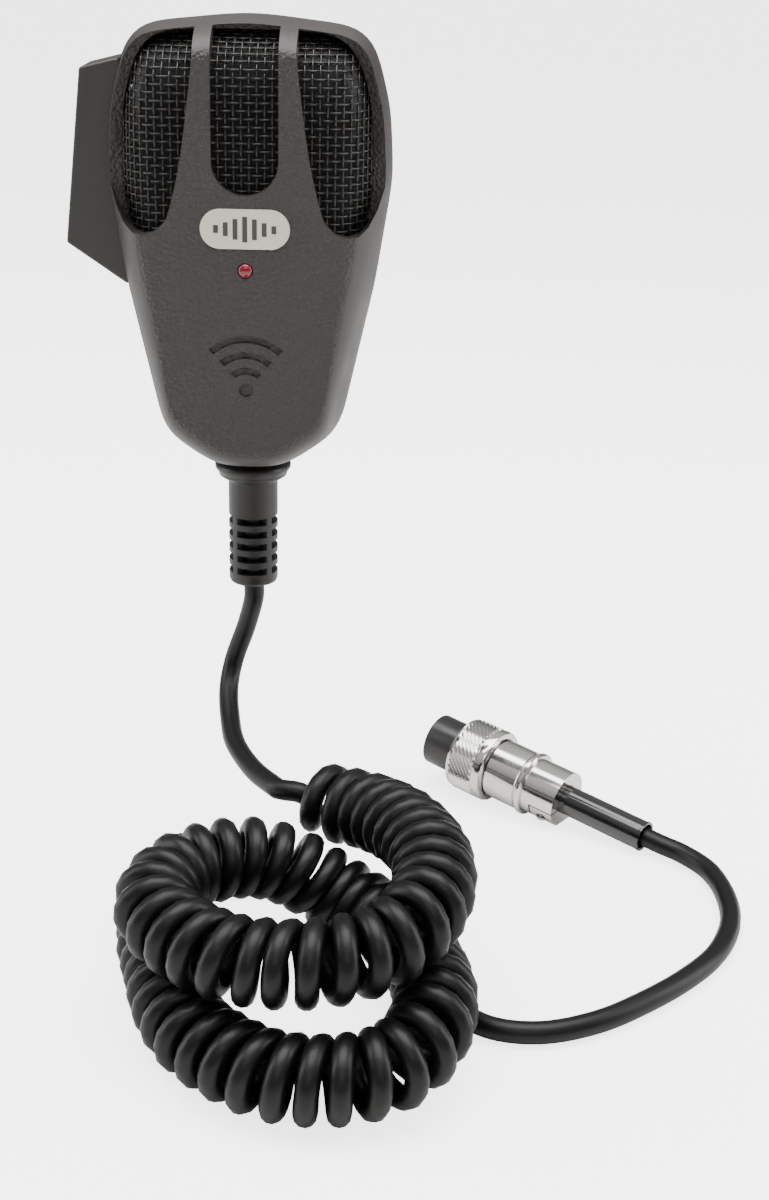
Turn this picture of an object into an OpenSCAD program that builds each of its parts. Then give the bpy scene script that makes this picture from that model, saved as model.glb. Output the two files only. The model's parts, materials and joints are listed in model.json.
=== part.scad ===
// Hand microphone with a push-to-talk lever, a curly cord and a four-contact screw-on plug.
// +Z is up, the speaking side looks along -Y, and the origin is the middle of the hang-up button's head.

/* [Case] */
// Depth of the front shell, from the parting plane to the speaking face
front_depth = 18; // [15:0.5:24]
// Depth of the rear shell, from the parting plane to the back face
rear_depth = 12; // [10:0.5:16]
// Wall of both shells
wall = 2; // [1.6:0.1:2.4]
// Added to every radius of the case outline, to make the whole case bigger or smaller
case_grow = 0; // [-1:0.1:3]
// Radius of the four screw bosses
boss_r = 3; // [2.6:0.1:3.4]
// Width of the sounding slots' middle opening
mid_opening_w = 13.8; // [10:0.2:15]

/* [Grille] */
// Thickness of the woven wire screen, over both wires
screen_t = 0.9; // [0.6:0.1:1.2]
// Thickness of the black cloth behind the screen
cloth_t = 0.5; // [0.3:0.1:0.8]

/* [Talk lever] */
// Width of the lever along the case's depth
lever_w = 14; // [10:0.5:16]
// Radius of the lever's pivot pin
lever_pin_r = 1.25; // [1:0.05:1.6]
// Gap between the pin and the lever's bore
pin_gap = 0.05; // [0.03:0.01:0.1]
// Gap between the lever and its slot in the case
slot_gap = 0.4; // [0.3:0.05:0.8]

/* [Cartridge] */
// Radius of the microphone cartridge's can
cup_r = 15; // [12:0.5:16]
// Depth of the can
cup_h = 11; // [9:0.5:13]
// Radius of the magnet
magnet_r = 5.4; // [4:0.2:6]

/* [Circuit board] */
// Thickness of the board
board_t = 1.6; // [1:0.2:2]
// Screw radius used on the board and the cord clamp
small_screw_r = 1; // [0.8:0.1:1.25]

/* [Hang-up button] */
// Radius of the button's head
button_r = 6.5; // [6:0.1:8]
// Thickness of the head
button_head_t = 2.4; // [2:0.1:3]
// Length of the neck that the dash clip goes round
button_neck_l = 3; // [2:0.1:4]
// Radius of the neck
button_neck_r = 3.6; // [3:0.1:4.5]
// Radius of the button's screw
button_screw_r = 1.5; // [1.25:0.05:1.75]

/* [Strain relief] */
// Radius of the smooth neck
boot_r = 5.6; // [5:0.1:6.2]
// Number of rows of windows
boot_windows = 5; // [3:1:6]
// Height of a window
window_h = 1.5; // [1:0.1:1.6]
// Distance from one row of windows to the next
window_pitch = 3; // [2.8:0.1:3.2]

/* [Cord] */
// Diameter of the cord's jacket
cord_d = 4.7; // [4:0.1:5.2]
// Diameter of the curly stretch over its turns
coil_d = 17.2; // [15:0.2:17.2]

/* [Plug] */
// Radius of the moulded insert
insert_r = 6.5; // [6:0.1:6.6]
// Radius of the coupling ring over its knurl
ring_r = 9.25; // [8.8:0.05:9.6]
// Length of the coupling ring
ring_l = 10.4; // [9.6:0.1:11.4]
// Radius of the metal shell
shell_r = 7.5; // [7.3:0.1:7.8]
// Radius of the cord sleeve
sleeve_r = 3.6; // [3.2:0.1:3.7]
// Length of the cord sleeve
sleeve_l = 27; // [22:1:28]

/* [Hidden] */
$fn = 48;
tiny = 0.01;             // thickness of the slices that the shells are hulled from
over = 1;                // how far a cutter runs past what it cuts
snug = 0.1;              // gap between pieces that are assembled and stay put
play = 0.2;              // gap round pieces that must drop in freely

// Depth positions, from the hang-up button forward
button_flange_t = 0.8;
back_y = -button_head_t / 2 - button_neck_l - button_flange_t;
part_y = back_y - rear_depth;
face_y = part_y - front_depth;

// Case outline: circles [x, z, radius] on the +X side, in turn from the crown to the bottom
CROWN = [0, -6, 50];
FLANK = [[4.5, -42.4, 10], [14.3, -40.5, 6], [11.2, -8, 16], [18.3, 12, 12], [19.6, 24, 10], [19, 34.2, 8]];
arc_step = 9;            // degrees from one point of an arc to the next
// How the shells draw in towards their faces: [depth behind the face, inset]
FRONT_PROFILE = [[0, 7.8], [1.2, 5.2], [4, 3], [9, 1.2]];
REAR_PROFILE = [[0, 5.8], [1.6, 2.8], [5, 0.9]];

// Grille openings
mid_top_z = 41.4;
mid_low_z = 16.2;
SIDE_OPENING = [[10.6, 41.2], [16, 40.8], [20.6, 38.6], [24, 33.4], [26, 24], [25.8, 14], [24, 5],
    [20.8, 1.2], [17.6, 3.2], [14.8, 9], [12.5, 20], [11, 31]];
screen_back_y = part_y - lever_w / 2 - 3;
screen_low_z = -2.5;

// Screws of the case
CASE_SCREWS = [[18.5, -20], [-18.5, -20], [12, -40.5], [-12, -40.5]];
case_screw_r = 1.4;
case_head_r = 2.6;
case_head_t = 1.8;

// Talk lever
lever_pivot = [-23, 29];
LEVER_OUTLINE = [[-27, 35], [-34.9, 33], [-38.9, -3], [-26.4, -11.5], [-21.9, -11.5], [-21.9, -15],
    [-20.8, -15], [-20.8, 26]];
LEVER_POCKETS = [[-1.2, 6.4], [13.6, 24]];
lever_pocket_x = -33.6;
lever_skin = 2;
SLOT_Z = [-11.5, 35];
lever_slot_x = -20;
lever_hub_r = 3.2;
lever_pin_end = 2.6;     // how far the pin runs into the case past the lever
spring_r = 2.6;
spring_wire_r = 0.35;
spring_turns = 4;
spring_z = 10;
spring_seat_x = -15.6;
spring_top_x = -20.75;
spring_y = part_y + 0.5;

// Switch
switch_z = -4;
switch_l = 12;
switch_w = 8;
switch_h = 6.4;
switch_x = -15.4;
plunger_r = 1.2;
plunger_gap = 0.05;
plunger_tip_x = -20.6;

// Board
board_y = back_y - 7;
board_front_y = board_y - board_t;
BOARD = [[-14.4, -32], [14.4, -32], [14.4, -15], [19.5, -8], [19.5, 30], [14, 34], [-10, 34], [-15.8, 28],
    [-15.8, -12], [-14.4, -15]];
BOARD_SCREWS = [[-12, 30], [16.5, 28], [10, -28]];
standoff_r = 2.6;

// Cartridge
cup_x = 4;
cup_z = 20;
cup_wall = 0.7;
gasket_t = 1.2;
cloth_back = wall + snug + screen_t + cloth_t;
cup_y = face_y + cloth_back + gasket_t;
terminal_x = magnet_r + 0.6;

// LED
led_r = 1.5;
led_z = -6;
led_proud = 0.7;
led_base_y = face_y + 4.4;

// Badge plate
badge_w = 18.6;
badge_h = 10;
badge_z = 2.6;
badge_t = 0.8;
badge_sunk = 0.3;

// Strain relief heights
boot_top_z = -46.4;
boot_lip_z = -48.6;
boot_lip_r = 6.6;
collar_top_z = -52.3;
collar_z = -56;
collar_r = 8.6;
window_top_z = -65;
boot_end_z = window_top_z - boot_windows * window_pitch - 1.5;
boot_core_r = 3.4;
clamp_z = -41.5;
clamp_h = 4;
clamp_w = 16;
cord_top_z = clamp_z + clamp_h / 2 + 2;
cord_r = cord_d / 2;

// Cord route: points that the cord's middle line passes through
floor_z = -144;
LEAD = [[0, -17, 62.5], [0, -17, 58], [-2, -14.6, 50], [-5, -14, 41], [-6, -18, 35], [-5, -26, 31],
    [-3, -35, 29], [2, -46, 28], [8, -55, 28]];
COIL = [[8, -55, 28], [17, -60, 28], [28, -66, 29], [36, -77, 31], [41, -91, 32], [41, -103, 31],
    [37, -113, 30], [30, -119, 28], [20, -122, 27], [11, -121, 26], [2, -119, 26], [-6, -113, 26],
    [-12, -105, 26], [-13, -97, 26], [-10, -89, 26], [-4, -84, 26], [4, -80, 25], [12, -78, 22],
    [20, -78, 17], [27, -81, 14], [35, -89, 13.3], [40, -101, 13.3], [42, -113, 13.3], [40, -124, 13],
    [35, -130, 11], [28, -133, 10], [20, -133, 9], [11, -131, 8.6], [3, -126, 8.6], [-4, -119, 8.6],
    [-9, -109, 8.6], [-12, -98, 8.6], [-15, -87, 8.6], [-16, -76, 8.6], [-16, -67, 8.6],
    [-13, -59, 8.6], [-7, -54, 8.6], [0, -52, 8.6]];
TAIL = [[0, -52, 8.6], [6, -52, 5], [13, -53, 2.4], [21, -58, 2.4], [29, -66, 2.4], [36, -77, 2.4],
    [42, -90, 2.4], [47, -100, 2.4], [54, -106, 2.4], [64, -107, 2.4], [75, -103, 2.4], [85, -96, 2.4],
    [95, -87, 2.4], [103, -77, 2.4], [108, -65, 2.4], [109, -53, 2.4], [107, -42, 2.4],
    [102, -35, 2.8]];
spans_per_point = 1;     // rings between two route points of the coil
tube_sides = 8;
coil_sides = 12;

// Plug: its own axis runs from the front face of the insert back along the cord
plug_front = [45, 8, floor_z + 10.6];
plug_turn = [0, 96.3, -37.2];
insert_out = 8.6;
insert_seat_r = insert_r - 0.6;
insert_l = 14;
ring_back = insert_out + ring_l;
ring_flange_t = 1.5;
ring_mouth_r = 8;
shell_neck_r = 7.05;
shell_flange_r = 7.8;
shell_l = 11;
shell_wall_r = 5.8;
ring_gap = 0.1;
washer_t = 0.5;
contact_r = 0.9;
contact_ring_r = 3.2;
clamp_l = 9;
plug_clamp_r = 6.9;
plug_clamp_z = ring_back + ring_gap * 2 + shell_l;
sleeve_z = plug_clamp_z + 4.4;
sleeve_end = sleeve_z + sleeve_l;
plug_cord_z = ring_back + 5;

// ---- Helpers ----

// Slab of a flat shape drawn in X and Z, from depth y0 forward of y1
module slab(y0, y1) translate([0, y1, 0]) rotate([90, 0, 0]) linear_extrude(y1 - y0) children();

// Cylinder along Y from y0 to y1, at [x, z]
module y_rod(p, y0, y1, r, r2 = -1) translate([p[0], y1, p[1]]) rotate([90, 0, 0])
    cylinder(h = y1 - y0, r1 = r, r2 = r2 < 0 ? r : r2);

// Ring along Y
module y_ring(p, y0, y1, r, bore) difference() {
    y_rod(p, y0, y1, r);
    y_rod(p, y0 - over, y1 + over, bore);
}

// Cylinder between any two points
module rod(a, b, r, fn = 16) {
    d = b - a;
    translate(a) rotate([0, acos(d[2] / norm(d)), atan2(d[1], d[0])]) cylinder(h = norm(d), r = r, $fn = fn);
}

// Cylinder along X from x0 to x1
module x_rod(x0, x1, y, z, r) translate([x0, y, z]) rotate([0, 90, 0]) cylinder(h = x1 - x0, r = r);

// Direction of the outward normal of the straight that joins circles a and b, taken counter-clockwise
function joint_angle(a, b) = let (d = [b[0] - a[0], b[1] - a[1]])
    atan2(d[1], d[0]) - acos((a[2] - b[2]) / norm(d));
function mirrored(c) = [-c[0], c[1], c[2]];
function outline_circles() = concat(FLANK, [CROWN], [for (i = [len(FLANK) - 1:-1:0]) mirrored(FLANK[i])]);
function onward(a, from) = let (d = (a - from) % 360) from + (d < 0 ? d + 360 : d);

// The case outline as one closed line: an arc of each circle in turn
function outline() = let (c = outline_circles(), n = len(c)) [
    for (i = [0:n - 1]) let (
        start = joint_angle(c[(i + n - 1) % n], c[i]),
        end = onward(joint_angle(c[i], c[(i + 1) % n]), start),
        steps = max(1, ceil((end - start) / arc_step)), r = c[i][2] + case_grow
    ) for (k = [0:steps]) let (a = start + (end - start) * k / steps)
        [c[i][0] + r * cos(a), c[i][1] + r * sin(a)]
];

// Point at t between p1 and p2 of a smooth line through p0, p1, p2 and p3
function smooth_at(p0, p1, p2, p3, t) = 0.5 * (2 * p1 + (p2 - p0) * t
    + (2 * p0 - 5 * p1 + 4 * p2 - p3) * t * t
    + (3 * p1 - p0 - 3 * p2 + p3) * t * t * t);
function ring_point(p, i) = p[(i + len(p)) % len(p)];
function smooth_ring(p, n) = [for (i = [0:len(p) - 1]) for (k = [0:n - 1])
    smooth_at(ring_point(p, i - 1), p[i], ring_point(p, i + 1), ring_point(p, i + 2), k / n)];
function open_point(p, i) = i < 0 ? 2 * p[0] - p[1]
    : i >= len(p) ? 2 * p[len(p) - 1] - p[len(p) - 2] : p[i];
function smooth_line(p, n) = concat([for (i = [0:len(p) - 2]) for (k = [0:n - 1])
    smooth_at(open_point(p, i - 1), p[i], p[i + 1], open_point(p, i + 2), k / n)], [p[len(p) - 1]]);

// Tube swept along a line, with each ring carried on from the one before so that it never twists
function unit(v) = v / norm(v);
function heading(p, i) = unit(open_point(p, i + 1) - open_point(p, i - 1));
function carried(side, axis) = unit(side - axis * (side * axis));
function sides(p, i, side, found) = i >= len(p) ? found
    : let (s = carried(side, heading(p, i))) sides(p, i + 1, s, concat(found, [s]));
module tube(p, r, n) {
    first = abs(heading(p, 0)[0]) < 0.8 ? [1, 0, 0] : [0, 1, 0];
    s = sides(p, 0, first, []);
    last = len(p) - 1;
    points = [for (i = [0:last]) for (k = [0:n - 1]) let (a = 360 * k / n)
        p[i] + r * (s[i] * cos(a) + cross(heading(p, i), s[i]) * sin(a))];
    walls = [for (i = [0:last - 1]) for (k = [0:n - 1]) let (a = i * n + k, b = i * n + (k + 1) % n)
        [a, a + n, b + n, b]];
    polyhedron(points, concat(walls, [[for (k = [0:n - 1]) k]], [[for (k = [n - 1:-1:0]) last * n + k]]),
        convexity = 6);
}
function on_floor(p) = [for (q = p) [q[0], q[1], floor_z + q[2]]];

// Solid of the front half of the case, drawn in by e all over and left open behind by run
module front_solid(e, run = 0) hull() {
    slab(part_y - tiny + run, part_y + run) offset(delta = -e) polygon(outline());
    for (s = FRONT_PROFILE) slab(face_y + s[0] + e, face_y + s[0] + e + tiny)
        offset(delta = -e - s[1]) polygon(outline());
}

module rear_solid(e, run = 0) hull() {
    slab(part_y - run, part_y - run + tiny) offset(delta = -e) polygon(outline());
    for (s = REAR_PROFILE) slab(back_y - s[0] - e - tiny, back_y - s[0] - e)
        offset(delta = -e - s[1]) polygon(outline());
}

// Everything between the lever's slot edges, grown by the gap
module lever_slot() translate([-60, part_y - lever_w / 2 - slot_gap, SLOT_Z[0] - slot_gap])
    cube([60 + lever_slot_x, lever_w + 2 * slot_gap, SLOT_Z[1] - SLOT_Z[0] + 2 * slot_gap]);

module side_openings() for (m = [0, 1]) mirror([m, 0, 0]) slab(face_y - over, part_y - lever_w / 2 - over)
    polygon(smooth_ring(SIDE_OPENING, 4));

module middle_opening() {
    y1 = face_y + wall + 4;
    y_rod([0, mid_low_z], face_y - over, y1, mid_opening_w / 2);
    translate([-mid_opening_w / 2, face_y - over, mid_low_z])
        cube([mid_opening_w, y1 - face_y + over, mid_top_z - mid_low_z]);
}

// Screen and cloth share the shell's inner form: a skin t thick, e in from the outside
module grille_skin(e, t) intersection() {
    difference() {
        front_solid(e);
        front_solid(e + t, over);
        y_rod([0, led_z], face_y - over, part_y, led_r * 2);
    }
    translate([-60, face_y, screen_low_z]) cube([120, screen_back_y - face_y, 60]);
}

// Dry-wire bend from the cord's end up to the board
module lead_wire(x, top, r = 0.45) {
    p = [[x, part_y, cord_top_z], [x * 1.2, part_y, cord_top_z + 3], [x * 2, part_y - 0.6, cord_top_z + 6],
        [top[0], board_front_y - 2.6, top[1] - 1], [top[0], board_front_y - 1.4, top[1]],
        [top[0], board_front_y, top[1]]];
    tube(smooth_line(p, 3), r, 6);
}

module at_plug() translate(plug_front) rotate(plug_turn) children();

module ring_solid(z0, z1, r, bore) translate([0, 0, z0]) difference() {
    cylinder(h = z1 - z0, r = r);
    translate([0, 0, -over]) cylinder(h = z1 - z0 + 2 * over, r = bore);
}

// ---- Case ----

module front_housing() color("#4a4846") {
    difference() {
        front_solid(0);
        front_solid(wall, over);
        side_openings();
        middle_opening();
        lever_slot();
        y_rod([0, led_z], face_y - over, face_y + wall + over, led_r + snug);
        slab(face_y - over, face_y + badge_sunk) translate([0, badge_z]) badge_shape(snug);
        y_cut_boot();
    }
    intersection() {
        for (p = CASE_SCREWS) y_ring(p, face_y + wall / 2, part_y, boss_r, case_screw_r - snug);
        front_solid(wall / 2);
    }
    top_tongue();
    lever_post(part_y - lever_w / 2 - lever_pin_end, part_y - lever_w / 2 - slot_gap);
}

// Tongue at the crown that hooks inside the rear shell
module top_tongue() {
    root_z = CROWN[1] + CROWN[2] + case_grow - wall - 3.4;
    intersection() {
        translate([-7, part_y - 6, root_z]) cube([14, 5.5, 3.4 + wall]);
        front_solid(wall / 2);
    }
    translate([-7, part_y - 6, root_z]) cube([14, 9, 1.6]);
}

// Boss beside the lever that one end of its pin sits in
module lever_post(y0, y1) difference() {
    union() {
        y_rod(lever_pivot, y0, y1, lever_hub_r);
        translate([lever_pivot[0] - 3.4, y0, lever_pivot[1] - 2]) cube([3.4, y1 - y0, 4]);
    }
    y_rod(lever_pivot, y0 - over, y1 + over, lever_pin_r);
}

module y_cut_boot() {
    translate([0, part_y, boot_lip_z - 6]) cylinder(h = 6 + play, r = boot_r + snug);
}

module rear_housing() color("#454341") {
    difference() {
        union() {
            difference() {
                rear_solid(0);
                rear_solid(wall, over);
                lever_slot();
                y_cut_boot();
            }
            intersection() {
                for (p = CASE_SCREWS) y_rod(p, part_y + tiny, back_y - wall / 2, boss_r + 0.4);
                rear_solid(wall / 2);
            }
            y_rod([0, 0], board_y + 1.4, back_y - wall / 2, button_r);
        }
        for (p = CASE_SCREWS) {
            y_rod(p, part_y - over, back_y + over, case_screw_r + snug);
            y_rod(p, back_y - case_head_t - 1.4, back_y + over, case_head_r + play);
        }
        y_rod([0, 0], part_y, back_y + over, button_screw_r + snug);
        y_rod([0, 0], board_y - over, back_y - wall - 0.6, nut_r() + play);
        y_rod(lever_pivot, part_y, part_y + lever_w / 2 + lever_pin_end, lever_pin_r);
    }
    for (p = BOARD_SCREWS) y_ring(p, board_y, back_y - wall + tiny, standoff_r, small_screw_r - snug);
    lever_post(part_y + lever_w / 2 + slot_gap, part_y + lever_w / 2 + lever_pin_end);
    clamp_rib();
    spring_post();
}

// Rib that the cord lies on under its clamp
module clamp_rib() difference() {
    translate([-clamp_w / 2, part_y + 0.3, clamp_z - clamp_h / 2])
        cube([clamp_w, back_y - wall - part_y, clamp_h]);
    translate([0, part_y, clamp_z - clamp_h]) cylinder(h = 2 * clamp_h, r = cord_r + snug / 2);
    for (s = [-1, 1]) y_rod([s * clamp_w / 3, clamp_z], part_y, back_y - wall, small_screw_r - snug);
}

// Post that the lever's return spring pushes against
module spring_post() translate([spring_seat_x, spring_y - 3, spring_z - 3])
    cube([1.8, back_y - wall - spring_y + 3, 6]);

module housing_screws() color("#8c8c8c") for (p = CASE_SCREWS) difference() {
    union() {
        y_rod(p, part_y - 9, back_y - 1.4 - case_head_t / 2, case_screw_r - snug);
        y_rod(p, back_y - 1.4 - case_head_t, back_y - 1.4, case_head_r);
    }
    for (a = [0, 90]) translate([p[0], back_y - 1.4, p[1]]) rotate([0, a, 0])
        cube([2.6, 1.6, 0.6], center = true);
}

module grille_screen() color("#5a5856") grille_skin(wall + snug, screen_t);
module grille_cloth() color("#141414") grille_skin(wall + snug + screen_t, cloth_t);

module badge_shape(e = 0) offset(delta = e) hull() for (s = [-1, 1])
    translate([s * (badge_w - badge_h) / 2, 0]) circle(badge_h / 2);

module badge_plate() color("#d8d2c6") slab(face_y + badge_sunk - badge_t, face_y + badge_sunk)
    translate([0, badge_z]) badge_shape();

module led_lens() color("#b01f33") {
    y_rod([0, led_z], face_y - led_proud + led_r, led_base_y, led_r);
    intersection() {
        translate([0, face_y - led_proud + led_r, led_z]) sphere(led_r);
        y_rod([0, led_z], face_y - 3, face_y - led_proud + led_r + tiny, led_r + tiny);
    }
    y_rod([0, led_z], face_y + wall + snug, face_y + wall + 1.2, led_r + 0.5);
}

module led_leads() color("#b8b8b8") for (s = [-1, 1])
    y_rod([s * 0.8, led_z], led_base_y, board_y + 1, 0.25);

// ---- Talk lever and switch ----

module talk_lever() color("#3f3d3b") difference() {
    union() {
        slab(part_y - lever_w / 2, part_y + lever_w / 2) polygon(LEVER_OUTLINE);
        y_rod(lever_pivot, part_y - lever_w / 2, part_y + lever_w / 2, lever_hub_r);
    }
    y_rod(lever_pivot, part_y - lever_w, part_y + lever_w, lever_pin_r + pin_gap);
    for (z = LEVER_POCKETS) translate([lever_pocket_x, part_y - lever_w / 2 + lever_skin, z[0]])
        cube([-lever_pocket_x, lever_w - 2 * lever_skin, z[1] - z[0]]);
}

module lever_pin() color("#b0b0b0")
    y_rod(lever_pivot, part_y - lever_w / 2 - lever_pin_end,
        part_y + lever_w / 2 + lever_pin_end, lever_pin_r);

module lever_spring() color("#c0c0c0") {
    step = (spring_seat_x - spring_top_x - 2 * spring_wire_r - 0.1) / spring_turns;
    p = [for (a = [0:30:360 * spring_turns]) [spring_seat_x - spring_wire_r - 0.05 - step * a / 360,
        spring_y + spring_r * cos(a), spring_z + spring_r * sin(a)]];
    tube(p, spring_wire_r, 6);
}

module switch_body() color("#20242c") difference() {
    translate([switch_x, board_front_y - switch_h, switch_z - switch_w / 2])
        cube([switch_l, switch_h, switch_w]);
    x_rod(switch_x - over, switch_x + 8, plunger_y(), switch_z, plunger_r + plunger_gap);
}
function plunger_y() = board_front_y - switch_h / 2;

module switch_plunger() color("#c9c3b0") {
    x_rod(plunger_tip_x, switch_x + 4, plunger_y(), switch_z, plunger_r);
}

module switch_terminals() color("#c8b070") for (i = [-1:1]) for (s = [-1, 1])
    y_rod([switch_x + switch_l / 2 + i * 4, switch_z + s * 2.5], board_front_y, board_y + 1.1, 0.4);

// ---- Board ----

module circuit_board() color("#1f6b45") difference() {
    slab(board_front_y, board_y) polygon(BOARD);
    for (p = BOARD_SCREWS) y_rod(p, board_front_y - over, board_y + over, small_screw_r + snug);
    for (s = [-1, 1]) y_rod([s * 0.8, led_z], board_front_y - over, board_y + over, 0.4);
    translate([spring_seat_x - over, board_front_y - over, spring_z - 3 - play])
        cube([1.8 + over + play, board_t + 2 * over, 6 + 2 * play]);
    for (i = [-1:1]) for (s = [-1, 1]) y_rod([switch_x + switch_l / 2 + i * 4, switch_z + s * 2.5],
        board_front_y - over, board_y + over, 0.5);
}

module board_components() color("#2a2a2a") {
    translate([4, board_front_y - 1.6, -16]) cube([6, 1.6, 4.2]);
    for (p = [[12.5, -8], [12.5, -17]]) y_rod(p, board_front_y - 5.4, board_front_y, 2.4);
    for (i = [0:3]) translate([-11, board_front_y - 0.7, -26 + 3.4 * i]) cube([3.2, 0.7, 1.6]);
    for (i = [0:2]) translate([4, board_front_y - 1, -22.5 - 2.2 * i]) cube([2, 1, 1.2]);
}

module board_screws() color("#9a9a9a") for (p = BOARD_SCREWS) {
    y_rod(p, board_front_y, board_y + 4.4, small_screw_r - snug);
    y_rod(p, board_front_y - 1.2, board_front_y, 1.9);
}

// ---- Cartridge ----

module cartridge_cup() color("#a8a8a4") difference() {
    y_rod([cup_x, cup_z], cup_y, cup_y + cup_h, cup_r);
    y_rod([cup_x, cup_z], cup_y - over, cup_y + cup_h - cup_wall, cup_r - cup_wall);
    for (s = [-1, 1]) y_rod([cup_x + s * terminal_x, cup_z], cup_y, cup_y + cup_h + over, 0.8);
}

module cartridge_cover() color("#8f8f8b") difference() {
    y_rod([cup_x, cup_z], cup_y, cup_y + 0.6, cup_r - cup_wall - 0.05);
    for (r = [0, 4, 8]) for (i = [0:max(0, r * 1.5 - 1)])
        y_rod([cup_x + r * cos(i * 240 / max(1, r)), cup_z + r * sin(i * 240 / max(1, r))],
            cup_y - over, cup_y + over, 0.9);
}

module cartridge_magnet() color("#55565a") {
    y_rod([cup_x, cup_z], cup_y + 4.4, cup_y + cup_h - cup_wall, magnet_r);
}

module voice_coil() color("#b5673a")
    y_ring([cup_x, cup_z], cup_y + 2.3, cup_y + 6, magnet_r + 1.2, magnet_r + 0.4);

module diaphragm() color("#d9c98a") y_rod([cup_x, cup_z], cup_y + 2, cup_y + 2.3, cup_r - cup_wall - 0.2);

module cartridge_gasket() color("#1c1c1c") intersection() {
    y_ring([cup_x, cup_z], cup_y - gasket_t, cup_y, cup_r - 0.4, cup_r - 3);
    front_solid(cloth_back + snug);
}

module cartridge_cushion() color("#262626")
    y_ring([cup_x, cup_z], cup_y + cup_h, board_front_y, cup_r - 3.2, terminal_x + 1.4);

module cartridge_terminals() color("#c8b070") for (s = [-1, 1]) {
    y_rod([cup_x + s * terminal_x, cup_z], cup_y + cup_h - 2, cup_y + cup_h + 1.6, 0.5);
}

module cartridge_leads() color("#c23b3b") for (s = [-1, 1])
    rod([cup_x + s * terminal_x, cup_y + cup_h + 1.6 + play, cup_z],
        [cup_x + s * (terminal_x - 0.4), board_front_y - play, cup_z - 3], 0.35, 8);

// ---- Hang-up button ----

function nut_r() = 3.2;

module hang_button() color("#3a3836") difference() {
    rotate([-90, 0, 0]) rotate_extrude() polygon([
        [0, back_y], [5.5, back_y], [5.5, back_y + button_flange_t],
        [button_neck_r, back_y + button_flange_t], [button_neck_r, -button_head_t / 2],
        [button_r, -button_head_t / 2], [button_r, button_head_t / 2], [0, button_head_t / 2]]);
    y_rod([0, 0], back_y - over, button_head_t, button_screw_r + snug);
    y_rod([0, 0], -button_head_t / 2 + 0.4, button_head_t, 3.1);
}

module hang_button_screw() color("#9a9a9a") difference() {
    union() {
        y_rod([0, 0], back_y - wall - 4, 0, button_screw_r);
        y_rod([0, 0], -button_head_t / 2 + 0.4, button_head_t / 2 - 0.2, 2.9);
    }
    for (a = [0, 90]) translate([0, button_head_t / 2 - 0.2, 0]) rotate([0, a, 0])
        cube([3.4, 1.4, 0.7], center = true);
}

module hang_button_nut() color("#a8a8a8") difference() {
    y_rod([0, 0], back_y - wall - 3, back_y - wall - 0.6, nut_r(), nut_r(), $fn = 6);
    y_rod([0, 0], board_y - 3, back_y, button_screw_r);
}

// ---- Strain relief and what the cord does inside ----

module strain_relief() color("#2b2a29") translate([0, part_y, 0]) difference() {
    union() {
        translate([0, 0, boot_end_z]) cylinder(h = boot_top_z - boot_end_z, r = boot_r);
        translate([0, 0, boot_lip_z]) cylinder(h = boot_top_z - boot_lip_z, r = boot_lip_r);
        translate([0, 0, collar_z]) cylinder(h = collar_top_z - collar_z - 0.8, r = collar_r);
        translate([0, 0, collar_top_z - 0.8]) cylinder(h = 0.8, r1 = collar_r, r2 = collar_r - 0.8);
    }
    translate([0, 0, boot_end_z - over]) cylinder(h = boot_top_z - boot_end_z + 2 * over, r = cord_r + snug);
    for (i = [0:boot_windows - 1]) boot_window(window_top_z - i * window_pitch, i % 2 * 90);
}

// One row of windows, cut in to the core on every side but two webs
module boot_window(z, turn) difference() {
    ring_solid(z - window_h, z, boot_r + over, boot_core_r);
    translate([0, 0, z - window_h / 2]) rotate([0, 0, turn])
        cube([3 * boot_r, 2.2, window_h + over], center = true);
}

module cord_clamp() color("#33312f") difference() {
    translate([-clamp_w / 2, part_y - 4.6, clamp_z - clamp_h / 2]) cube([clamp_w, 4.4, clamp_h]);
    translate([0, part_y, clamp_z - clamp_h]) cylinder(h = 2 * clamp_h, r = cord_r);
    for (s = [-1, 1]) y_rod([s * clamp_w / 3, clamp_z], part_y - 6, part_y + over, small_screw_r + snug);
}

module cord_clamp_screws() color("#9a9a9a") for (s = [-1, 1]) {
    y_rod([s * clamp_w / 3, clamp_z], part_y - 4.6, part_y + 6, small_screw_r - snug);
    y_rod([s * clamp_w / 3, clamp_z], part_y - 5.8, part_y - 4.6, 1.9);
}

module cord_entry() color("#161514")
    translate([0, part_y, boot_end_z]) cylinder(h = cord_top_z - boot_end_z, r = cord_r);

module wire_audio() color("#c23b3b") lead_wire(-1.5, [-7, -30]);
module wire_key() color("#222222") lead_wire(-0.5, [-2.6, -30]);
module wire_receive() color("#d8d8d8") lead_wire(0.5, [1.8, -30]);
module wire_ground() color("#b06a3a") lead_wire(1.5, [6.2, -30]);

// ---- Cord ----

module cord_lead() color("#161514") {
    route = concat([[0, part_y, boot_end_z]], [for (i = [1:len(LEAD) - 1]) on_floor(LEAD)[i]]);
    tube(smooth_line(route, 1), cord_r, tube_sides);
}

module cord_coil() color("#161514")
    tube(smooth_line(on_floor(COIL), spans_per_point), coil_d / 2, coil_sides);

module cord_tail() color("#161514") {
    route = concat(on_floor(TAIL), [plug_point(sleeve_end + 4), plug_point(sleeve_end)]);
    tube(smooth_line(route, 1), cord_r, tube_sides);
}
function plug_point(z) = plug_front + z * [sin(plug_turn[1]) * cos(plug_turn[2]),
    sin(plug_turn[1]) * sin(plug_turn[2]), cos(plug_turn[1])];

// ---- Plug ----

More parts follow.
